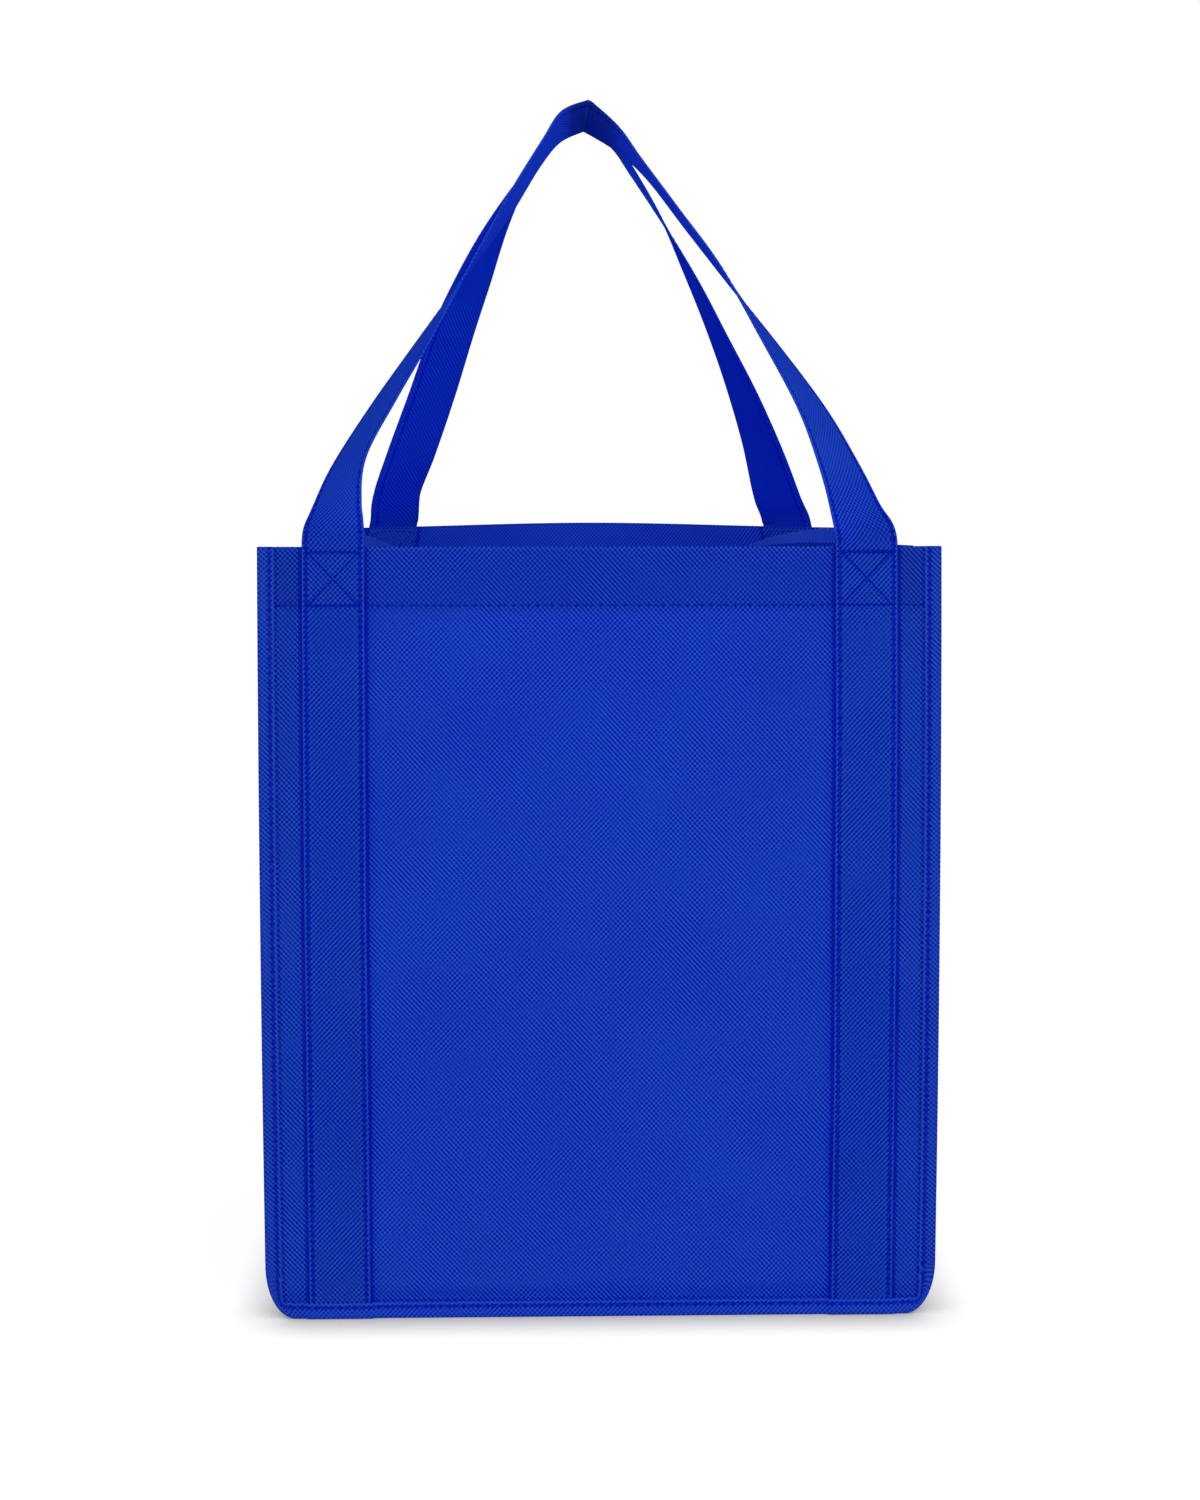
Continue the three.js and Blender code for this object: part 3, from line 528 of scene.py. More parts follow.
def wall(side, name):
    """The wall's grid: heights up, over the fold and down; columns every 2 mm."""
    turn = np.linspace(np.pi / 2, 0, 12)
    low = CORNER_UP - (CORNER_UP - EDGE_WRAP) * np.sin(turn)
    up = np.linspace(CORNER_UP, FOLD_TOP, 176)[1:]
    fold_z, fold_in, fold_v = hem_rows()
    z = np.r_[low, up, fold_z]
    inside = np.r_[np.zeros(low.size + up.size), fold_in]
    v = np.r_[low, up, FOLD_TOP + fold_v]
    edge = HALF_WIDTH - EDGE_WRAP
    s = np.linspace(-edge, edge, 165)
    grid_s = s[None] * (1 - corner_inset(z, EDGE_WRAP) / edge)[:, None]
    grid_z, grid_in = np.broadcast_to(z[:, None], grid_s.shape), inside[:, None]
    line = BODY_HEIGHT - HEM_STITCH
    lift = slack(side, grid_s, grid_z) + pucker(grid_z - line, grid_s) * (np.abs(grid_s) < SEAM_HALF)
    lift = lift + pucker(np.abs(np.abs(grid_s) - STRAP_FROM_CENTRE) - STRAP_ROW, grid_z, 0.05)
    lift = lift - 0.35 * np.exp(-(((grid_z - line) / 1.6) ** 2)) * (np.abs(grid_s) < SEAM_HALF - 1)
    middle = place(side, grid_s, grid_z, lift - grid_in)
    uv = np.stack([grid_s, np.broadcast_to(v[:, None], grid_s.shape)], -1)
    centre = (s[:-1] + s[1:]) / 2
    keep = (np.arange(z.size - 1)[:, None] < low.size + up.size + 2) | (np.abs(centre)[None] < SEAM_HALF - 3)
    piece = sheet_mesh(name + "_cloth", middle, uv, (name,), keep)
    piece.data.materials.append(cloth_blue)
    return piece


front_wall = wall(-1, "front_panel")
back_wall = wall(1, "back_panel")

# %% [markdown]
# ## The rounded outline
# The gusset, the tape and its stitches all follow the outline of a wall at some distance in from its edge:
# down one side, round a corner, along the bottom and up again. One function of the length along the outline
# and that distance serves them all, so that their corners stay nested.

# %% Points along the outline
def outline(step=2.0, top=BODY_HEIGHT):
    """Sign, kind and value of stations: heights down a side, angles round a corner, places along the
    bottom."""
    heights = np.linspace(top, CORNER_UP, int(round((top - CORNER_UP) / step)) + 1)
    angles = np.linspace(0, np.pi / 2, int(34 / step) + 2)[1:]
    flats = np.linspace(FLAT_HALF, 0, int(FLAT_HALF / step) + 1)[1:]
    half = [(-1, 0, v) for v in heights] + [(-1, 1, v) for v in angles] + [(-1, 2, v) for v in flats]
    other = [(1, kind, v) for _, kind, v in half[-2::-1]]
    return np.array(half + other)


def outline_point(stations, inset):
    """Across and height on the outline, a distance in from the edge. Its corner is a quarter ellipse at the
    edge and squarer further in: cosine and sine to a power that falls from 1."""
    sign, kind, value = stations.T[:, :, None]
    inset = np.atleast_1d(inset)[None]
    square = 1 - 0.1 * inset
    turn = np.clip(value, 0, np.pi / 2)
    across = (CORNER_ACROSS - inset) * np.maximum(np.cos(turn), 0) ** square
    s = np.where(kind == 0, HALF_WIDTH - inset, np.where(kind == 1, FLAT_HALF + across, value))
    down = CORNER_UP - (CORNER_UP - inset) * np.sin(turn) ** square
    return sign * s, np.where(kind == 0, value, np.where(kind == 1, down, inset))


def lengths(points):
    """Distance along a line of points from its first."""
    return np.r_[0, np.cumsum(np.linalg.norm(np.diff(points, axis=0), axis=1))]


seam_line = np.hstack(outline_point(outline(), FIN))
print("seam outline", round(lengths(seam_line)[-1]), "mm")

# %% [markdown]
# ## The gusset
# One strip is the left side, the bottom and the right side. Its long edges bend out flat into the seams,
# and in the sides a crease down the middle folds inwards, deeper towards the rim. Because the cloth keeps its
# length, the crease sinks a little as it leans in. A hinge-like fold would look like card, so the crease is
# rounded, and the strip ends in a hem like the walls.

# %% The gusset
CREASE_ROUND, LEFT_SINK, RIGHT_SINK, BELLY = 0.035, 2.2, 0.9, 1.6


def gusset_rows(stations, inside=0.0):
    """Rows from the front fin to the back fin: a straight line between the seams, pushed in by a rounded
    hat shape towards the crease, whose place makes each half as wide as half the depth."""
    (s, z), back = outline_point(stations, FIN), -SNUG
    front, rear = place(-1, s[:, 0], z[:, 0], back), place(1, s[:, 0], z[:, 0], back)
    chord = rear - front
    fold = np.sqrt(np.maximum(0, (HALF_DEPTH - SNUG) ** 2 - (chord**2).sum(-1) / 4)) * (stations[:, 1] < 2)
    inward = np.stack([chord[:, 1], -chord[:, 0], 0 * fold], -1)
    inward = inward / np.linalg.norm(inward, axis=-1, keepdims=True) * -np.sign(inward[:, :1] * s)
    long = np.maximum(0, z[:, 0] - FIN)
    drop = (long - np.sqrt(np.maximum(0, long**2 - fold**2))) * np.where(s[:, 0] < 0, LEFT_SINK, RIGHT_SINK)
    t = np.r_[0, 0.006, 0.014, np.linspace(0.03, 0.46, 26), np.linspace(0.47, 0.53, 9)]
    t = np.r_[t, np.linspace(0.54, 0.97, 26), 0.986, 0.994, 1]
    hat = 1 - (np.hypot(2 * t - 1, CREASE_ROUND) - CREASE_ROUND) / (np.hypot(1, CREASE_ROUND) - CREASE_ROUND)
    sink = np.where(s < 0, hat, hat**4) * drop[:, None]
    inner = front[:, None] + chord[:, None] * t[None, :, None]
    inner = inner + (inward * fold[:, None])[:, None] * hat[None, :, None]
    inner = inner - np.array([0, 0, 1]) * sink[..., None]
    belly = BELLY * np.sin(2 * np.pi * t) ** 2 * rise(z[:, :1]) * np.sin(z[:, :1] / 37 + 2 * t)
    inner = inner + inward[:, None] * belly[..., None]
    fins = [place(side, *(v[:, 0] for v in outline_point(stations, inset)), back)
            for side, inset in ((-1, EDGE_WRAP), (-1, 4.4), (-1, 7.3), (1, 7.3), (1, 4.4), (1, EDGE_WRAP))]
    rows = np.concatenate([np.stack(fins[:3], 1), inner, np.stack(fins[3:], 1)], 1)
    if np.any(inside):
        flat = np.gradient(rows, axis=1) * [1, 1, 0]
        normal = np.stack([flat[..., 1], -flat[..., 0], 0 * flat[..., 0]], -1)
        normal /= np.linalg.norm(normal, axis=-1, keepdims=True)
        normal *= -np.sign(s[:, :, None]) * np.sign(normal[:, 20:21, :1])
        rows = rows + normal * np.reshape(inside, (-1, 1, 1))
    return rows, np.r_[-6.9, -3.4, -0.7, t * BASE_DEPTH, BASE_DEPTH + 0.7, BASE_DEPTH + 3.4, BASE_DEPTH + 6.9]


def gusset_strip():
    """All rows: the left hem, the strip itself, the right hem; hem cells stop short of the seams."""
    body = outline(3.0, FOLD_TOP)
    fold_z, fold_in, fold_v = hem_rows()
    ends = [np.c_[np.full(fold_z.size, sign), np.zeros(fold_z.size), fold_z] for sign in (-1, 1)]
    left, across = gusset_rows(ends[0], fold_in)
    right, _ = gusset_rows(ends[1], fold_in)
    middle, _ = gusset_rows(body)
    s, z = outline_point(body, FIN)
    v = lengths(np.c_[s, z])
    v = np.r_[-fold_v[::-1], v, v[-1] + fold_v]
    grid = np.concatenate([left[::-1], middle, right])
    uv = np.stack(np.broadcast_arrays(across[None], v[:, None]), -1)
    keep = np.ones((grid.shape[0] - 1, grid.shape[1] - 1), bool)
    rows, cols = keep.shape
    hem = np.r_[0 : fold_z.size, rows - fold_z.size : rows]
    keep[np.ix_(hem, np.r_[0:6, cols - 6 : cols])] = False
    sides = ("gusset_left", "gusset_bottom", "gusset_right")
    return sheet_mesh("gusset_cloth", grid, uv, sides, keep)


gusset = gusset_strip()
gusset.data.materials.append(gusset_blue)

# %% [markdown]
# ## The edge tape
# A strip of the same cloth is folded over each seam and sewn through. Seen from the front it is the narrow
# border with a dotted line. Its section is a flat U. Where a strap end runs under it, the front leaf rises
# over the strap, near the stitches it is drawn down, and at each lower corner it stands up as a small pleat.

# %% The edge tape
PLEAT = 0.8


def strap_lift(stations):
    """How much the tape rises at a station: all over a strap end, nothing past it, with short slopes."""
    beyond = np.abs(np.abs(stations[:, 2]) - STRAP_FROM_CENTRE) - STRAP_WIDTH / 2
    return (stations[:, 1] == 2) * (STRAP_THICK + 0.05) * np.clip((2.6 - beyond) / 2.2, 0, 1)


def tape(side, name):
    """U section carried along the outline: front leaf, rounded edge, rear leaf."""
    stations = outline(TAPE_STEP)
    leaf = np.array([TAPE_LEAF, 8.0, 7.3, 6.6, 6.1, 5.6, 4.9, 3.8, 2.6, 1.6])
    front = SNUG + np.array([0.12, 0.06, 0.0, -0.05, -0.1, -0.05, 0.02, 0.08, 0.06, 0.02])
    turn = np.linspace(np.pi / 2, -np.pi / 2, 9)
    centre, radius = -SNUG / 2, 1.5 * SNUG
    edge_in, edge_out = 1.0 - 0.75 * np.cos(turn), centre + radius * np.sin(turn)
    inset = np.r_[leaf, edge_in, leaf[::-1][:-1] * 0.86]
    out = np.r_[front, edge_out, np.full(leaf.size - 1, -2 * SNUG)]
    share = np.r_[np.ones(leaf.size), np.linspace(1, 0, turn.size), np.zeros(leaf.size - 1)]
    s, z = outline_point(stations, inset)
    along = lengths(place(side, *(v[:, 0] for v in outline_point(stations, 4.0))))
    dents = pucker(inset[None] - TAPE_ROW, along[:, None], 0.07) * (share[None] > 0.99)
    corner = (stations[:, 1] == 1) * np.exp(-(((stations[:, 2] - np.pi / 4) / 0.12) ** 2))
    dents = dents + PLEAT * corner[:, None] * share[None] * np.clip((inset[None] - 3.5) / 5, 0, 1)
    grid = place(side, s, z, out[None] + strap_lift(stations)[:, None] * share[None] + dents)
    uv = np.stack(np.broadcast_arrays(along[:, None], lengths(np.c_[inset, out])[None]), -1)
    piece = sheet_mesh(name + "_tape", grid, uv, (name,))
    piece.data.materials.append(tape_blue)
    return piece


front_tape = tape(-1, "front_binding")
back_tape = tape(1, "back_binding")

# %% [markdown]
# ## The straps and handles
# Each strap is one long folded strip. It starts in the bottom seam, runs up the wall, leaves the rim as a
# loop and comes down the other side. A flat strip can't bend within its own width, so to make a loop it has
# to twist: it leaves the rim facing forwards and stands on edge at the top, where a crease has been pressed
# in. The loop is a smooth line through a row of places, each with its turn. They were fitted to the handles'
# outline in the photograph and are the same ones that the CAD model uses.

# %% The handles' lines
FRONT_LOOP = np.array([
    [-127, -99, 19, 30], [-121, -91, 41, 50], [-105, -79, 69, 56], [-88, -67, 96, 62], [-67, -53, 130, 73],
    [-45, -38, 165, 84], [-28, -27, 193, 84], [-18, -20, 207, 87], [-5, -17, 213, 88], [11, -20, 201, 83],
    [24, -26, 186, 76], [42, -38, 161, 75], [63, -51, 132, 73], [85, -66, 98, 60], [105, -79, 65, 48],
    [117, -90, 38, 36], [124, -99, 18, 23]], float)
BACK_LOOP = np.array([
    [-110, 110, 19, 28], [-101, 98, 42, 25], [-89, 84, 73, 29], [-77, 69, 106, 35], [-67, 58, 130, 43],
    [-52, 42, 162, 60], [-31, 27, 196, 78], [-19, 20, 208, 84], [-5, 17, 215, 88], [8, 20, 206, 88],
    [18, 28, 193, 87], [37, 41, 165, 83], [53, 54, 137, 74], [68, 68, 108, 67], [83, 82, 77, 56],
    [96, 97, 46, 44], [106, 110, 17, 29]], float)
LOOP_LEAN = {-1: -27.0, 1: 25.0}
CREST = 8
RING = STITCH_PITCH / 3
STEPS = 24


def smooth_line(points):
    """Cubic through the points whose direction at each is that of its two neighbours."""
    ends = np.vstack([points[:1], points, points[-1:]])
    a, b, c, d = ends[:-3, None], ends[1:-2, None], ends[2:-1, None], ends[3:, None]
    t = np.linspace(0, 1, STEPS, endpoint=False)[None, :, None]
    line = 0.5 * (2 * b + (c - a) * t + (2 * a - 5 * b + 4 * c - d) * t**2 + (3 * b - a - 3 * c + d) * t**3)
    return np.vstack([line.reshape(-1, points.shape[1]), points[-1:]])


def unit(v):
    return v / np.linalg.norm(v, axis=-1, keepdims=True)


def loop_line(side):
    """Centre and width direction along the loop, equally spaced: two smooth lines that meet at the crease."""
    loop = FRONT_LOOP if side < 0 else BACK_LOOP
    lean = np.radians(LOOP_LEAN[side])
    normal = np.array([0, np.cos(lean), np.sin(lean)])
    places = loop[:, :3] + [0, 0, BODY_HEIGHT]
    step = np.vstack([places[1:2] - places[:1], places[2:] - places[:-2], places[-1:] - places[-2:-1]])
    along = unit(step)
    upright = unit(normal - (along @ normal)[:, None] * along)
    turn = np.radians(loop[:, 3:])
    across = side * np.cross(upright, along) * np.cos(turn) + upright * np.sin(turn)
    middles, heights = (-STRAP_FROM_CENTRE, STRAP_FROM_CENTRE), [BODY_HEIGHT - HEM_STITCH, BODY_HEIGHT + 2]
    feet = [place(side, s, heights, STRAP_OUT) for s in middles]
    ways = [unit(place(side, s + 1, BODY_HEIGHT) - place(side, s - 1, BODY_HEIGHT)) * side * np.sign(-s)
            for s in middles]
    data = np.hstack([places, across])
    start = np.hstack([feet[0], np.tile(ways[0], (2, 1))])
    end = np.hstack([feet[1][::-1], np.tile(ways[1], (2, 1))])
    left = smooth_line(np.vstack([start, data[: CREST + 1]]))[STEPS:]
    right = smooth_line(np.vstack([data[CREST:], end]))[:-STEPS]
    fine = np.vstack([left, right[1:]])
    run = lengths(fine[:, :3])
    even = np.linspace(0, run[-1], int(run[-1] / RING))
    line = np.stack([np.interp(even, run, fine[:, k]) for k in range(6)], -1)
    crest = int(np.argmin(np.abs(even - run[len(left) - 1])))
    return line[:, :3], line[:, 3:], crest


def strap_frames(side):
    """Centres, width axes and face axes of the loop's rings, heights of the rings on a wall, and the number
    of the ring at the crest."""
    at, across, crest = loop_line(side)
    along = unit(np.gradient(at, axis=0))
    across = unit(across - (across * along).sum(-1, keepdims=True) * along)
    face = unit(np.cross(along, across))
    z = np.arange(STRAP_END, BODY_HEIGHT + 2, RING)
    return at, across, face, z, crest


front_frames, back_frames = strap_frames(-1), strap_frames(1)
print("loop lengths", [round(lengths(f[0])[-1]) for f in (front_frames, back_frames)], "mm")

# %% [markdown]
# The strap's section is 30 mm wide and about a millimetre thick, with rounded folded edges. A row of
# stitches 2 mm from each edge pulls a groove into it, deeper at each stitch, and leaves the edge standing as
# a small ridge that catches the light.

# %% The straps
def section(w, along, inner=False):
    """Half thickness over the width: flat, rounded to nothing at the edges, less a groove at the stitches."""
    aside = np.abs(w)
    body = STRAP_THICK / 2 * (1 - np.clip((aside - 14.2) / 0.8, 0, 1) ** 2.5) ** 0.5
    beat = 0.6 + 0.4 * np.cos(2 * np.pi * along / STITCH_PITCH)
    groove = 0.24 * np.exp(-(((aside - STRAP_ROW) / 0.55) ** 2)) * beat
    puff = 0.10 * np.cos(np.clip(w / STRAP_ROW, -1, 1) * np.pi / 2)
    ridge = 0.08 * np.exp(-(((aside - 14.1) / 0.5) ** 2))
    return body - groove + (puff + ridge) * (0.3 if inner else 1.0)


def strap_points(side, frames, w, t):
    """Points at width w and height t on every ring: on the wall they follow its cloth, above it the loop."""
    at, across, face, z, _ = frames
    rows, count = z.size, at.shape[0]

    def on_wall(sign, height):
        s = sign * (STRAP_FROM_CENTRE - side * w)
        return place(side, s, z[:, None], STRAP_OUT + slack(side, s, z[:, None]) + height)

    left, right = on_wall(-1, t[:rows]), on_wall(1, t[rows + count :][::-1])
    middle = t[rows : rows + count]
    loop = at[:, None] + across[:, None] * w[..., None] + face[:, None] * middle[..., None]
    return np.concatenate([left, loop[1:-1], right[::-1]])


# The straps' light blue: the front one has more red and green, a painted sheen; the back one is darker,
# painted shade. The second table is painted light on each loop.
STRAP_LIGHT = {-1: (0.0235, 0.107, 0.52), 1: (0.0105, 0.082, 0.43)}
STRAP_LOOP_LIGHT = {-1: 0.25, 1: 0.0}


def strap(side, name, frames):
    """Closed tube of the section along all rings, its two ends capped inside the bottom seam."""
    half = np.r_[-15, -14.93, -14.75, -14.45, -14.1, -13.7, -13.35, -13, -12.65, -12.3, -11.6, -10, -6, -2]
    w = np.r_[half, -half[::-1]]
    z, count = frames[3], frames[0].shape[0]
    along = np.arange(2 * z.size + count)[:, None] * RING
    outer = strap_points(side, frames, w[None], section(w[None], along))
    inner = strap_points(side, frames, w[None], -section(w[None], along, True))
    ring = np.concatenate([outer, inner[:, -2:0:-1]], 1)
    rows, cols = ring.shape[:2]
    top, low = np.arange(w.size - 1), (cols - np.arange(w.size)) % cols
    cap = np.stack([top, top + 1, low[1:], low[:-1]], -1)
    faces = np.concatenate([tube_faces(rows, cols), cap[:, ::-1], cap + (rows - 1) * cols])
    flat_w = np.r_[w, OTHER_FACE + w[-2:0:-1]]
    run = np.arange(rows) * RING
    uv = np.stack(np.broadcast_arrays(flat_w[None], run[:, None]), -1).reshape(-1, 2)
    piece = build(name + "_strap", ring.reshape(-1, 3), faces, uv, (name,))
    marks = strap_marks(float(run[-1]), (z.size + frames[4] - 1) * RING, STRAP_LOOP_LIGHT[side])
    piece.data.materials.append(felted(name + "_nonwoven", STRAP_LIGHT[side], marks, sheen=0.0))
    return piece


front_strap = strap(-1, "front_handle", front_frames)
back_strap = strap(1, "back_handle", back_frames)

# %% [markdown]
# ## Stitches
# A row of machine stitches is a line of short thread dashes, each dipping into the cloth at both ends. Each
# one is the same small capsule, placed along a line with a gap after it. All stitches of a row are made as
# one array: a template of points, turned and moved by every stitch's own axes.

# %% Stitch maker
def stitch_template():
    """Capsule of six-sided rings along x, thinner and lower at its ends."""
    x = np.array([-0.5, -0.42, -0.2, 0.2, 0.42, 0.5]) * STITCH_LONG
    radius = np.array([0.08, 0.22, 0.3, 0.3, 0.22, 0.08])
    dip = np.array([-0.3, -0.12, 0.0, 0.0, -0.12, -0.3])
    turn = np.linspace(0, 2 * np.pi, 6, endpoint=False)
    ring = np.stack([np.broadcast_to(x[:, None], (6, 6)), radius[:, None] * np.cos(turn),
                     dip[:, None] + radius[:, None] * np.sin(turn)], -1)
    ends = np.array([[0, 5, 4, 3], [0, 3, 2, 1], [30, 31, 32, 33], [30, 33, 34, 35]])
    return ring.reshape(-1, 3), np.concatenate([tube_faces(6, 6), ends])


def stitch_places(line, up):
    """Middle and axes of each stitch along a line of points with their outward directions."""
    run = lengths(line)
    count = max(1, int(run[-1] / STITCH_PITCH))
    where = (np.arange(count) + 0.5) * run[-1] / count
    at = lambda values, w: np.stack([np.interp(w, run, values[:, k]) for k in range(3)], -1)
    along = unit(at(line, where + 0.8) - at(line, where - 0.8))
    face = at(up, where)
    face = unit(face - (face * along).sum(-1, keepdims=True) * along)
    return at(line, where), along, face


def stitches(name, rows, replaced=()):
    """One piece from several rows of stitches."""
    points, quads = stitch_template()
    centre, along, face = (np.concatenate(part) for part in zip(*(stitch_places(*row) for row in rows)))
    side = np.cross(face, along)
    x, y, z = (points[None, :, k : k + 1] for k in range(3))
    placed = centre[:, None] + along[:, None] * x + side[:, None] * y + face[:, None] * z
    number = np.arange(len(centre))[:, None, None]
    faces = (quads[None] + number * len(points)).reshape(-1, 4)
    flat = np.concatenate(np.broadcast_arrays(x + 4 * number, y), -1)
    piece = build(name, placed.reshape(-1, 3), faces, flat.reshape(-1, 2), replaced)
    piece.data.materials.append(thread_blue)
    return piece


def thread_material(name, colour):
    """Twisted plies: a fine slanting wave along each stitch. Light gets through thread as it does through
    the cloth."""
    material, tree, shader, output = blank(name)
    twist = maths(tree, "SINE", times(tree, maths(tree, "ADD", *cloth_map(tree)), 9000.0))
    roughen(tree, shader, twist, 0.4, 0.00006)
    tree.links.new(scaled(tree, colour, ramp(tree, twist, -1.0, 1.0, 0.82, 1.1)), shader.inputs["Base Color"])
    shader.inputs["Roughness"].default_value = 0.55
    shader.inputs["Specular IOR Level"].default_value = 0.0
    let_light_through(tree, shader, output, (0.0005, 0.012, 0.98, 1))
    return material


thread_blue = thread_material("thread_twist", (0.0045, 0.038, 0.47))
print("a stitch has", len(stitch_template()[1]), "faces")

# %% [markdown]
# The rows are where a sewing machine put them: along both edges of each strap for its whole length, once
# across each hem, round each seam through the tape, and as a crossed box where a strap meets the hem.

# %% Rows on the straps
def strap_row(side, frames, w):
    """A line at width w on the outer face of the strap, and which way is outwards."""
    w = np.array([[w]])
    count = 2 * frames[3].size + frames[0].shape[0]
    low, high = (strap_points(side, frames, w, np.full((count, 1), height))[:, 0] for height in (0.0, 0.42))
    return high[6:-6], unit(high - low)[6:-6]


for side, name, frames in ((-1, "front", front_frames), (1, "back", back_frames)):
    for edge, w in (("outer", STRAP_ROW), ("inner", -STRAP_ROW)):
        row = strap_row(side, frames, w)
        stitches(f"{name}_strap_stitches_{edge}", [row], (f"{name}_strap_thread_{edge}",))

# %% Rows on the walls
def wall_line(side, start, end, out):
    """A straight line on the flat cloth from one place to another, laid on the wall."""
    share = np.linspace(0, 1, 160)
    s, z = start[0] + (end[0] - start[0]) * share, start[1] + (end[1] - start[1]) * share
    base = slack(side, s, z)
    low, high = place(side, s, z, base), place(side, s, z, base + out)
    return high, unit(high - low)


low, high = BODY_HEIGHT - HEM_STITCH, BODY_HEIGHT - BOX_TOP
strap_in, strap_out = STRAP_FROM_CENTRE - STRAP_WIDTH / 2 - 0.5, STRAP_FROM_CENTRE + STRAP_WIDTH / 2 + 0.5
ON_INSIDE = -SNUG - CLOTH / 2 - 0.02
for side, name in ((-1, "front"), (1, "back")):
    inside = wall_line(side, (3 - SEAM_HALF, low), (SEAM_HALF - 3, low), ON_INSIDE)
    stitches(f"{name}_hem_stitches_inside", [inside])
    spans = [(-strap_in, strap_in), (-SEAM_HALF + 1.5, -strap_out), (strap_out, SEAM_HALF - 1.5)]
    rows = [wall_line(side, (a, low), (b, low), 0.02) for a, b in spans]
    threads = [f"{name}_hem_thread_{part}" for part in ("middle", "left", "right")]
    stitches(f"{name}_hem_stitches", rows, threads)
    for part, s in (("left", -STRAP_FROM_CENTRE), ("right", STRAP_FROM_CENTRE)):
        a, b = s - BOX_HALF, s + BOX_HALF
        lines = [((a, low), (b, low)), ((a, high), (b, high)), ((a, low), (b, high)), ((a, high), (b, low))]
        rows = [wall_line(side, *line, STRAP_OUT + 0.58) for line in lines]
        stitches(f"{name}_cross_stitches_{part}", rows, (f"{name}_{part}_cross_thread",))
        sides = [((s + w, low), (s + w, high)) for w in (-STRAP_ROW, STRAP_ROW)]
        rows = [wall_line(side, *line, ON_INSIDE) for line in lines + sides]
        stitches(f"{name}_cross_stitches_inside_{part}", rows)

# %% Rows through the tape
for side, name in ((-1, "front"), (1, "back")):
    stations = outline(TAPE_STEP, BODY_HEIGHT - 2)
    s, z = (v[:, 0] for v in outline_point(stations, TAPE_ROW))
    lift = strap_lift(stations)
    low, high = place(side, s, z, lift), place(side, s, z, lift + SNUG + CLOTH / 2 - 0.05)
    stitches(f"{name}_tape_stitches", [(high, unit(high - low))], (f"{name}_binding_thread",))

# %% [markdown]
# ## The board on the bottom
# A loose stiff sheet keeps the bottom flat. It is a plain rigid part whose CAD shape is already right, so it
# keeps that mesh and only gets a finish: moulded plastic with a fine haircell grain.

# %% The board's finish
def board_finish():
    """Low noise bump for the grain and slow noise for scuffs in the roughness."""
    material, tree, shader, _ = blank("board_grain")
    spot = node(tree, "ShaderNodeTexCoord").outputs["Object"]
    grain, wear = noise(tree, spot, 700.0, 3.0), noise(tree, spot, 14.0, 8.0)
    roughen(tree, shader, grain, 0.3, 0.0001)
    tree.links.new(ramp(tree, wear, 0.3, 0.7, 0.42, 0.62), shader.inputs["Roughness"])
    blue = scaled(tree, (0.005, 0.022, 0.21), ramp(tree, wear, 0.3, 0.7, 0.85, 1.1))
    tree.links.new(blue, shader.inputs["Base Color"])
    shader.inputs["Specular IOR Level"].default_value = 0.3
    return material


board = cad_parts["bottom_board"]
board.data.materials.clear()
board.data.materials.append(board_finish())
print("board material", board.data.materials[0].name)

# %% [markdown]

# %% [markdown]
# ## Floor and light
# The photograph has a pure white ground with one soft shadow under the bag. A white floor that also glows a
# little for the camera goes to white everywhere but in the shadow; that shadow is partly real and partly
# painted, as the glow is taken down where something is close above. Two large soft lamps in front and an even
# surrounding light give the cloth its plain studio look. A third, weaker lamp stands behind, so that some
# light comes through the back wall, as it does in thin cloth.

# %% Floor, surrounding light and lamps
FLOOR_GLOW, SHADOW_REACH, SHADOW_POWER = 0.885, 0.03, 1.35
FLOOR_MATT, FLOOR_WHITE = (0.212, 0.210, 0.203, 1), (0.85, 0.85, 0.85, 1)
WORLD_DIM, WORLD_EXTRA = 0.6, 0.4
BAG_MIDDLE = np.array([0, 0, 0.3])


def seen_by_camera(tree):
    """1 for light that goes to the camera, straight or mirrored, and 0 for all other light."""
    path = node(tree, "ShaderNodeLightPath")
    return maths(tree, "MAXIMUM", path.outputs["Is Camera Ray"], path.outputs["Is Glossy Ray"])


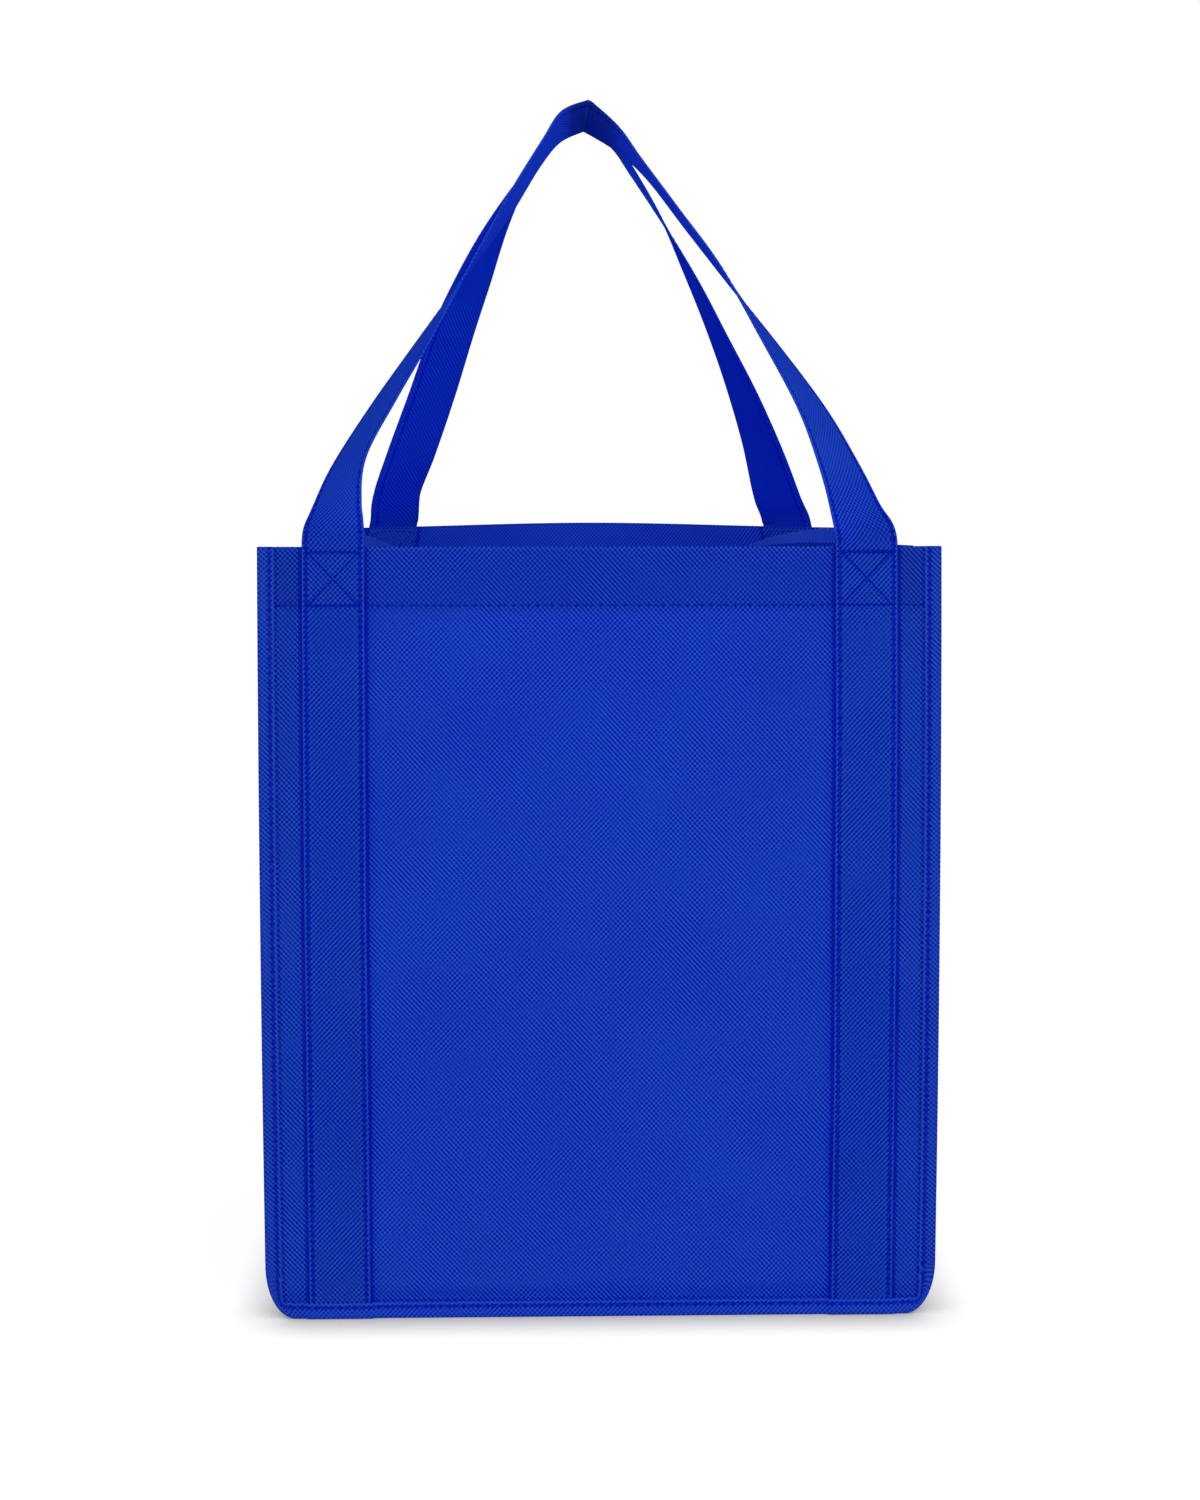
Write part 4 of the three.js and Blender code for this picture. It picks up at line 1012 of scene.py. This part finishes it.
def white_floor():
    """For the camera: a share of plain white, taken down where something is close above as a painted contact
    shadow, and a share of matt white that takes the real soft shadow. For all other light: plain matt white."""
    material, tree, shader, output = blank("floor_white")
    seen = seen_by_camera(tree)
    # The camera's glow is taken down near things above it: a painted contact shadow.
    painted_shadow_ao = node(tree, "ShaderNodeAmbientOcclusion", {"Distance": SHADOW_REACH}, samples=8).outputs["AO"]
    strength = times(tree, times(tree, seen, FLOOR_GLOW), maths(tree, "POWER", painted_shadow_ao, SHADOW_POWER))
    glow = node(tree, "ShaderNodeEmission", {"Strength": strength})
    white = node(tree, "ShaderNodeMix", {0: seen, 6: FLOOR_WHITE, 7: FLOOR_MATT}, data_type="RGBA")
    tree.links.new(white.outputs[2], shader.inputs["Base Color"])
    shader.inputs["Roughness"].default_value = 1.0
    shader.inputs["Specular IOR Level"].default_value = 0.0
    both = node(tree, "ShaderNodeAddShader", {0: shader.outputs[0], 1: glow.outputs[0]})
    tree.links.new(both.outputs[0], output.inputs["Surface"])
    return material


floor_mesh = bpy.data.meshes.new("studio_floor")
floor_mesh.from_pydata([(-15, -15, 0), (15, -15, 0), (15, 15, 0), (-15, 15, 0)], [], [(0, 1, 2, 3)])
floor = bpy.data.objects.new("studio_floor", floor_mesh)
bpy.context.scene.collection.objects.link(floor)
floor.data.materials.append(white_floor())
floor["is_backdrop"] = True

world = bpy.data.worlds.new("studio")
bpy.context.scene.world = world
world.use_nodes = True
tree = world.node_tree
sky = tree.nodes["Background"]
strength = maths(tree, "ADD", times(tree, seen_by_camera(tree), WORLD_EXTRA), WORLD_DIM)
tree.links.new(strength, sky.inputs["Strength"])
sky.inputs["Color"].default_value = (1, 1, 1, 1)


def lamp(name, spot, size, watts):
    """Square soft lamp that faces the middle of the bag."""
    data = bpy.data.lights.new(name, "AREA")
    data.size, data.energy = size, watts
    made = bpy.data.objects.new(name, data)
    bpy.context.scene.collection.objects.link(made)
    made.location = spot
    away = np.array(spot) - BAG_MIDDLE
    tilt = np.arctan2(np.hypot(away[0], away[1]), away[2])
    made.rotation_euler = (tilt, 0, np.arctan2(away[1], away[0]) + np.pi / 2)


lamp("key_right", (1.3, -2.3, 0.85), 1.6, 34)
lamp("fill_left", (-1.9, -2.0, 0.8), 1.6, 19)
lamp("back_fill", (0.3, 2.6, 1.3), 2.0, 16)
print("lamps", len(bpy.data.lights))

# %% [markdown]
# The dressed bag has to be the size of the CAD model. Both boxes are printed.

# %% Sizes and the end
look_box = [list(map(float, corner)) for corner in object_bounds()]
print("visual box", look_box)
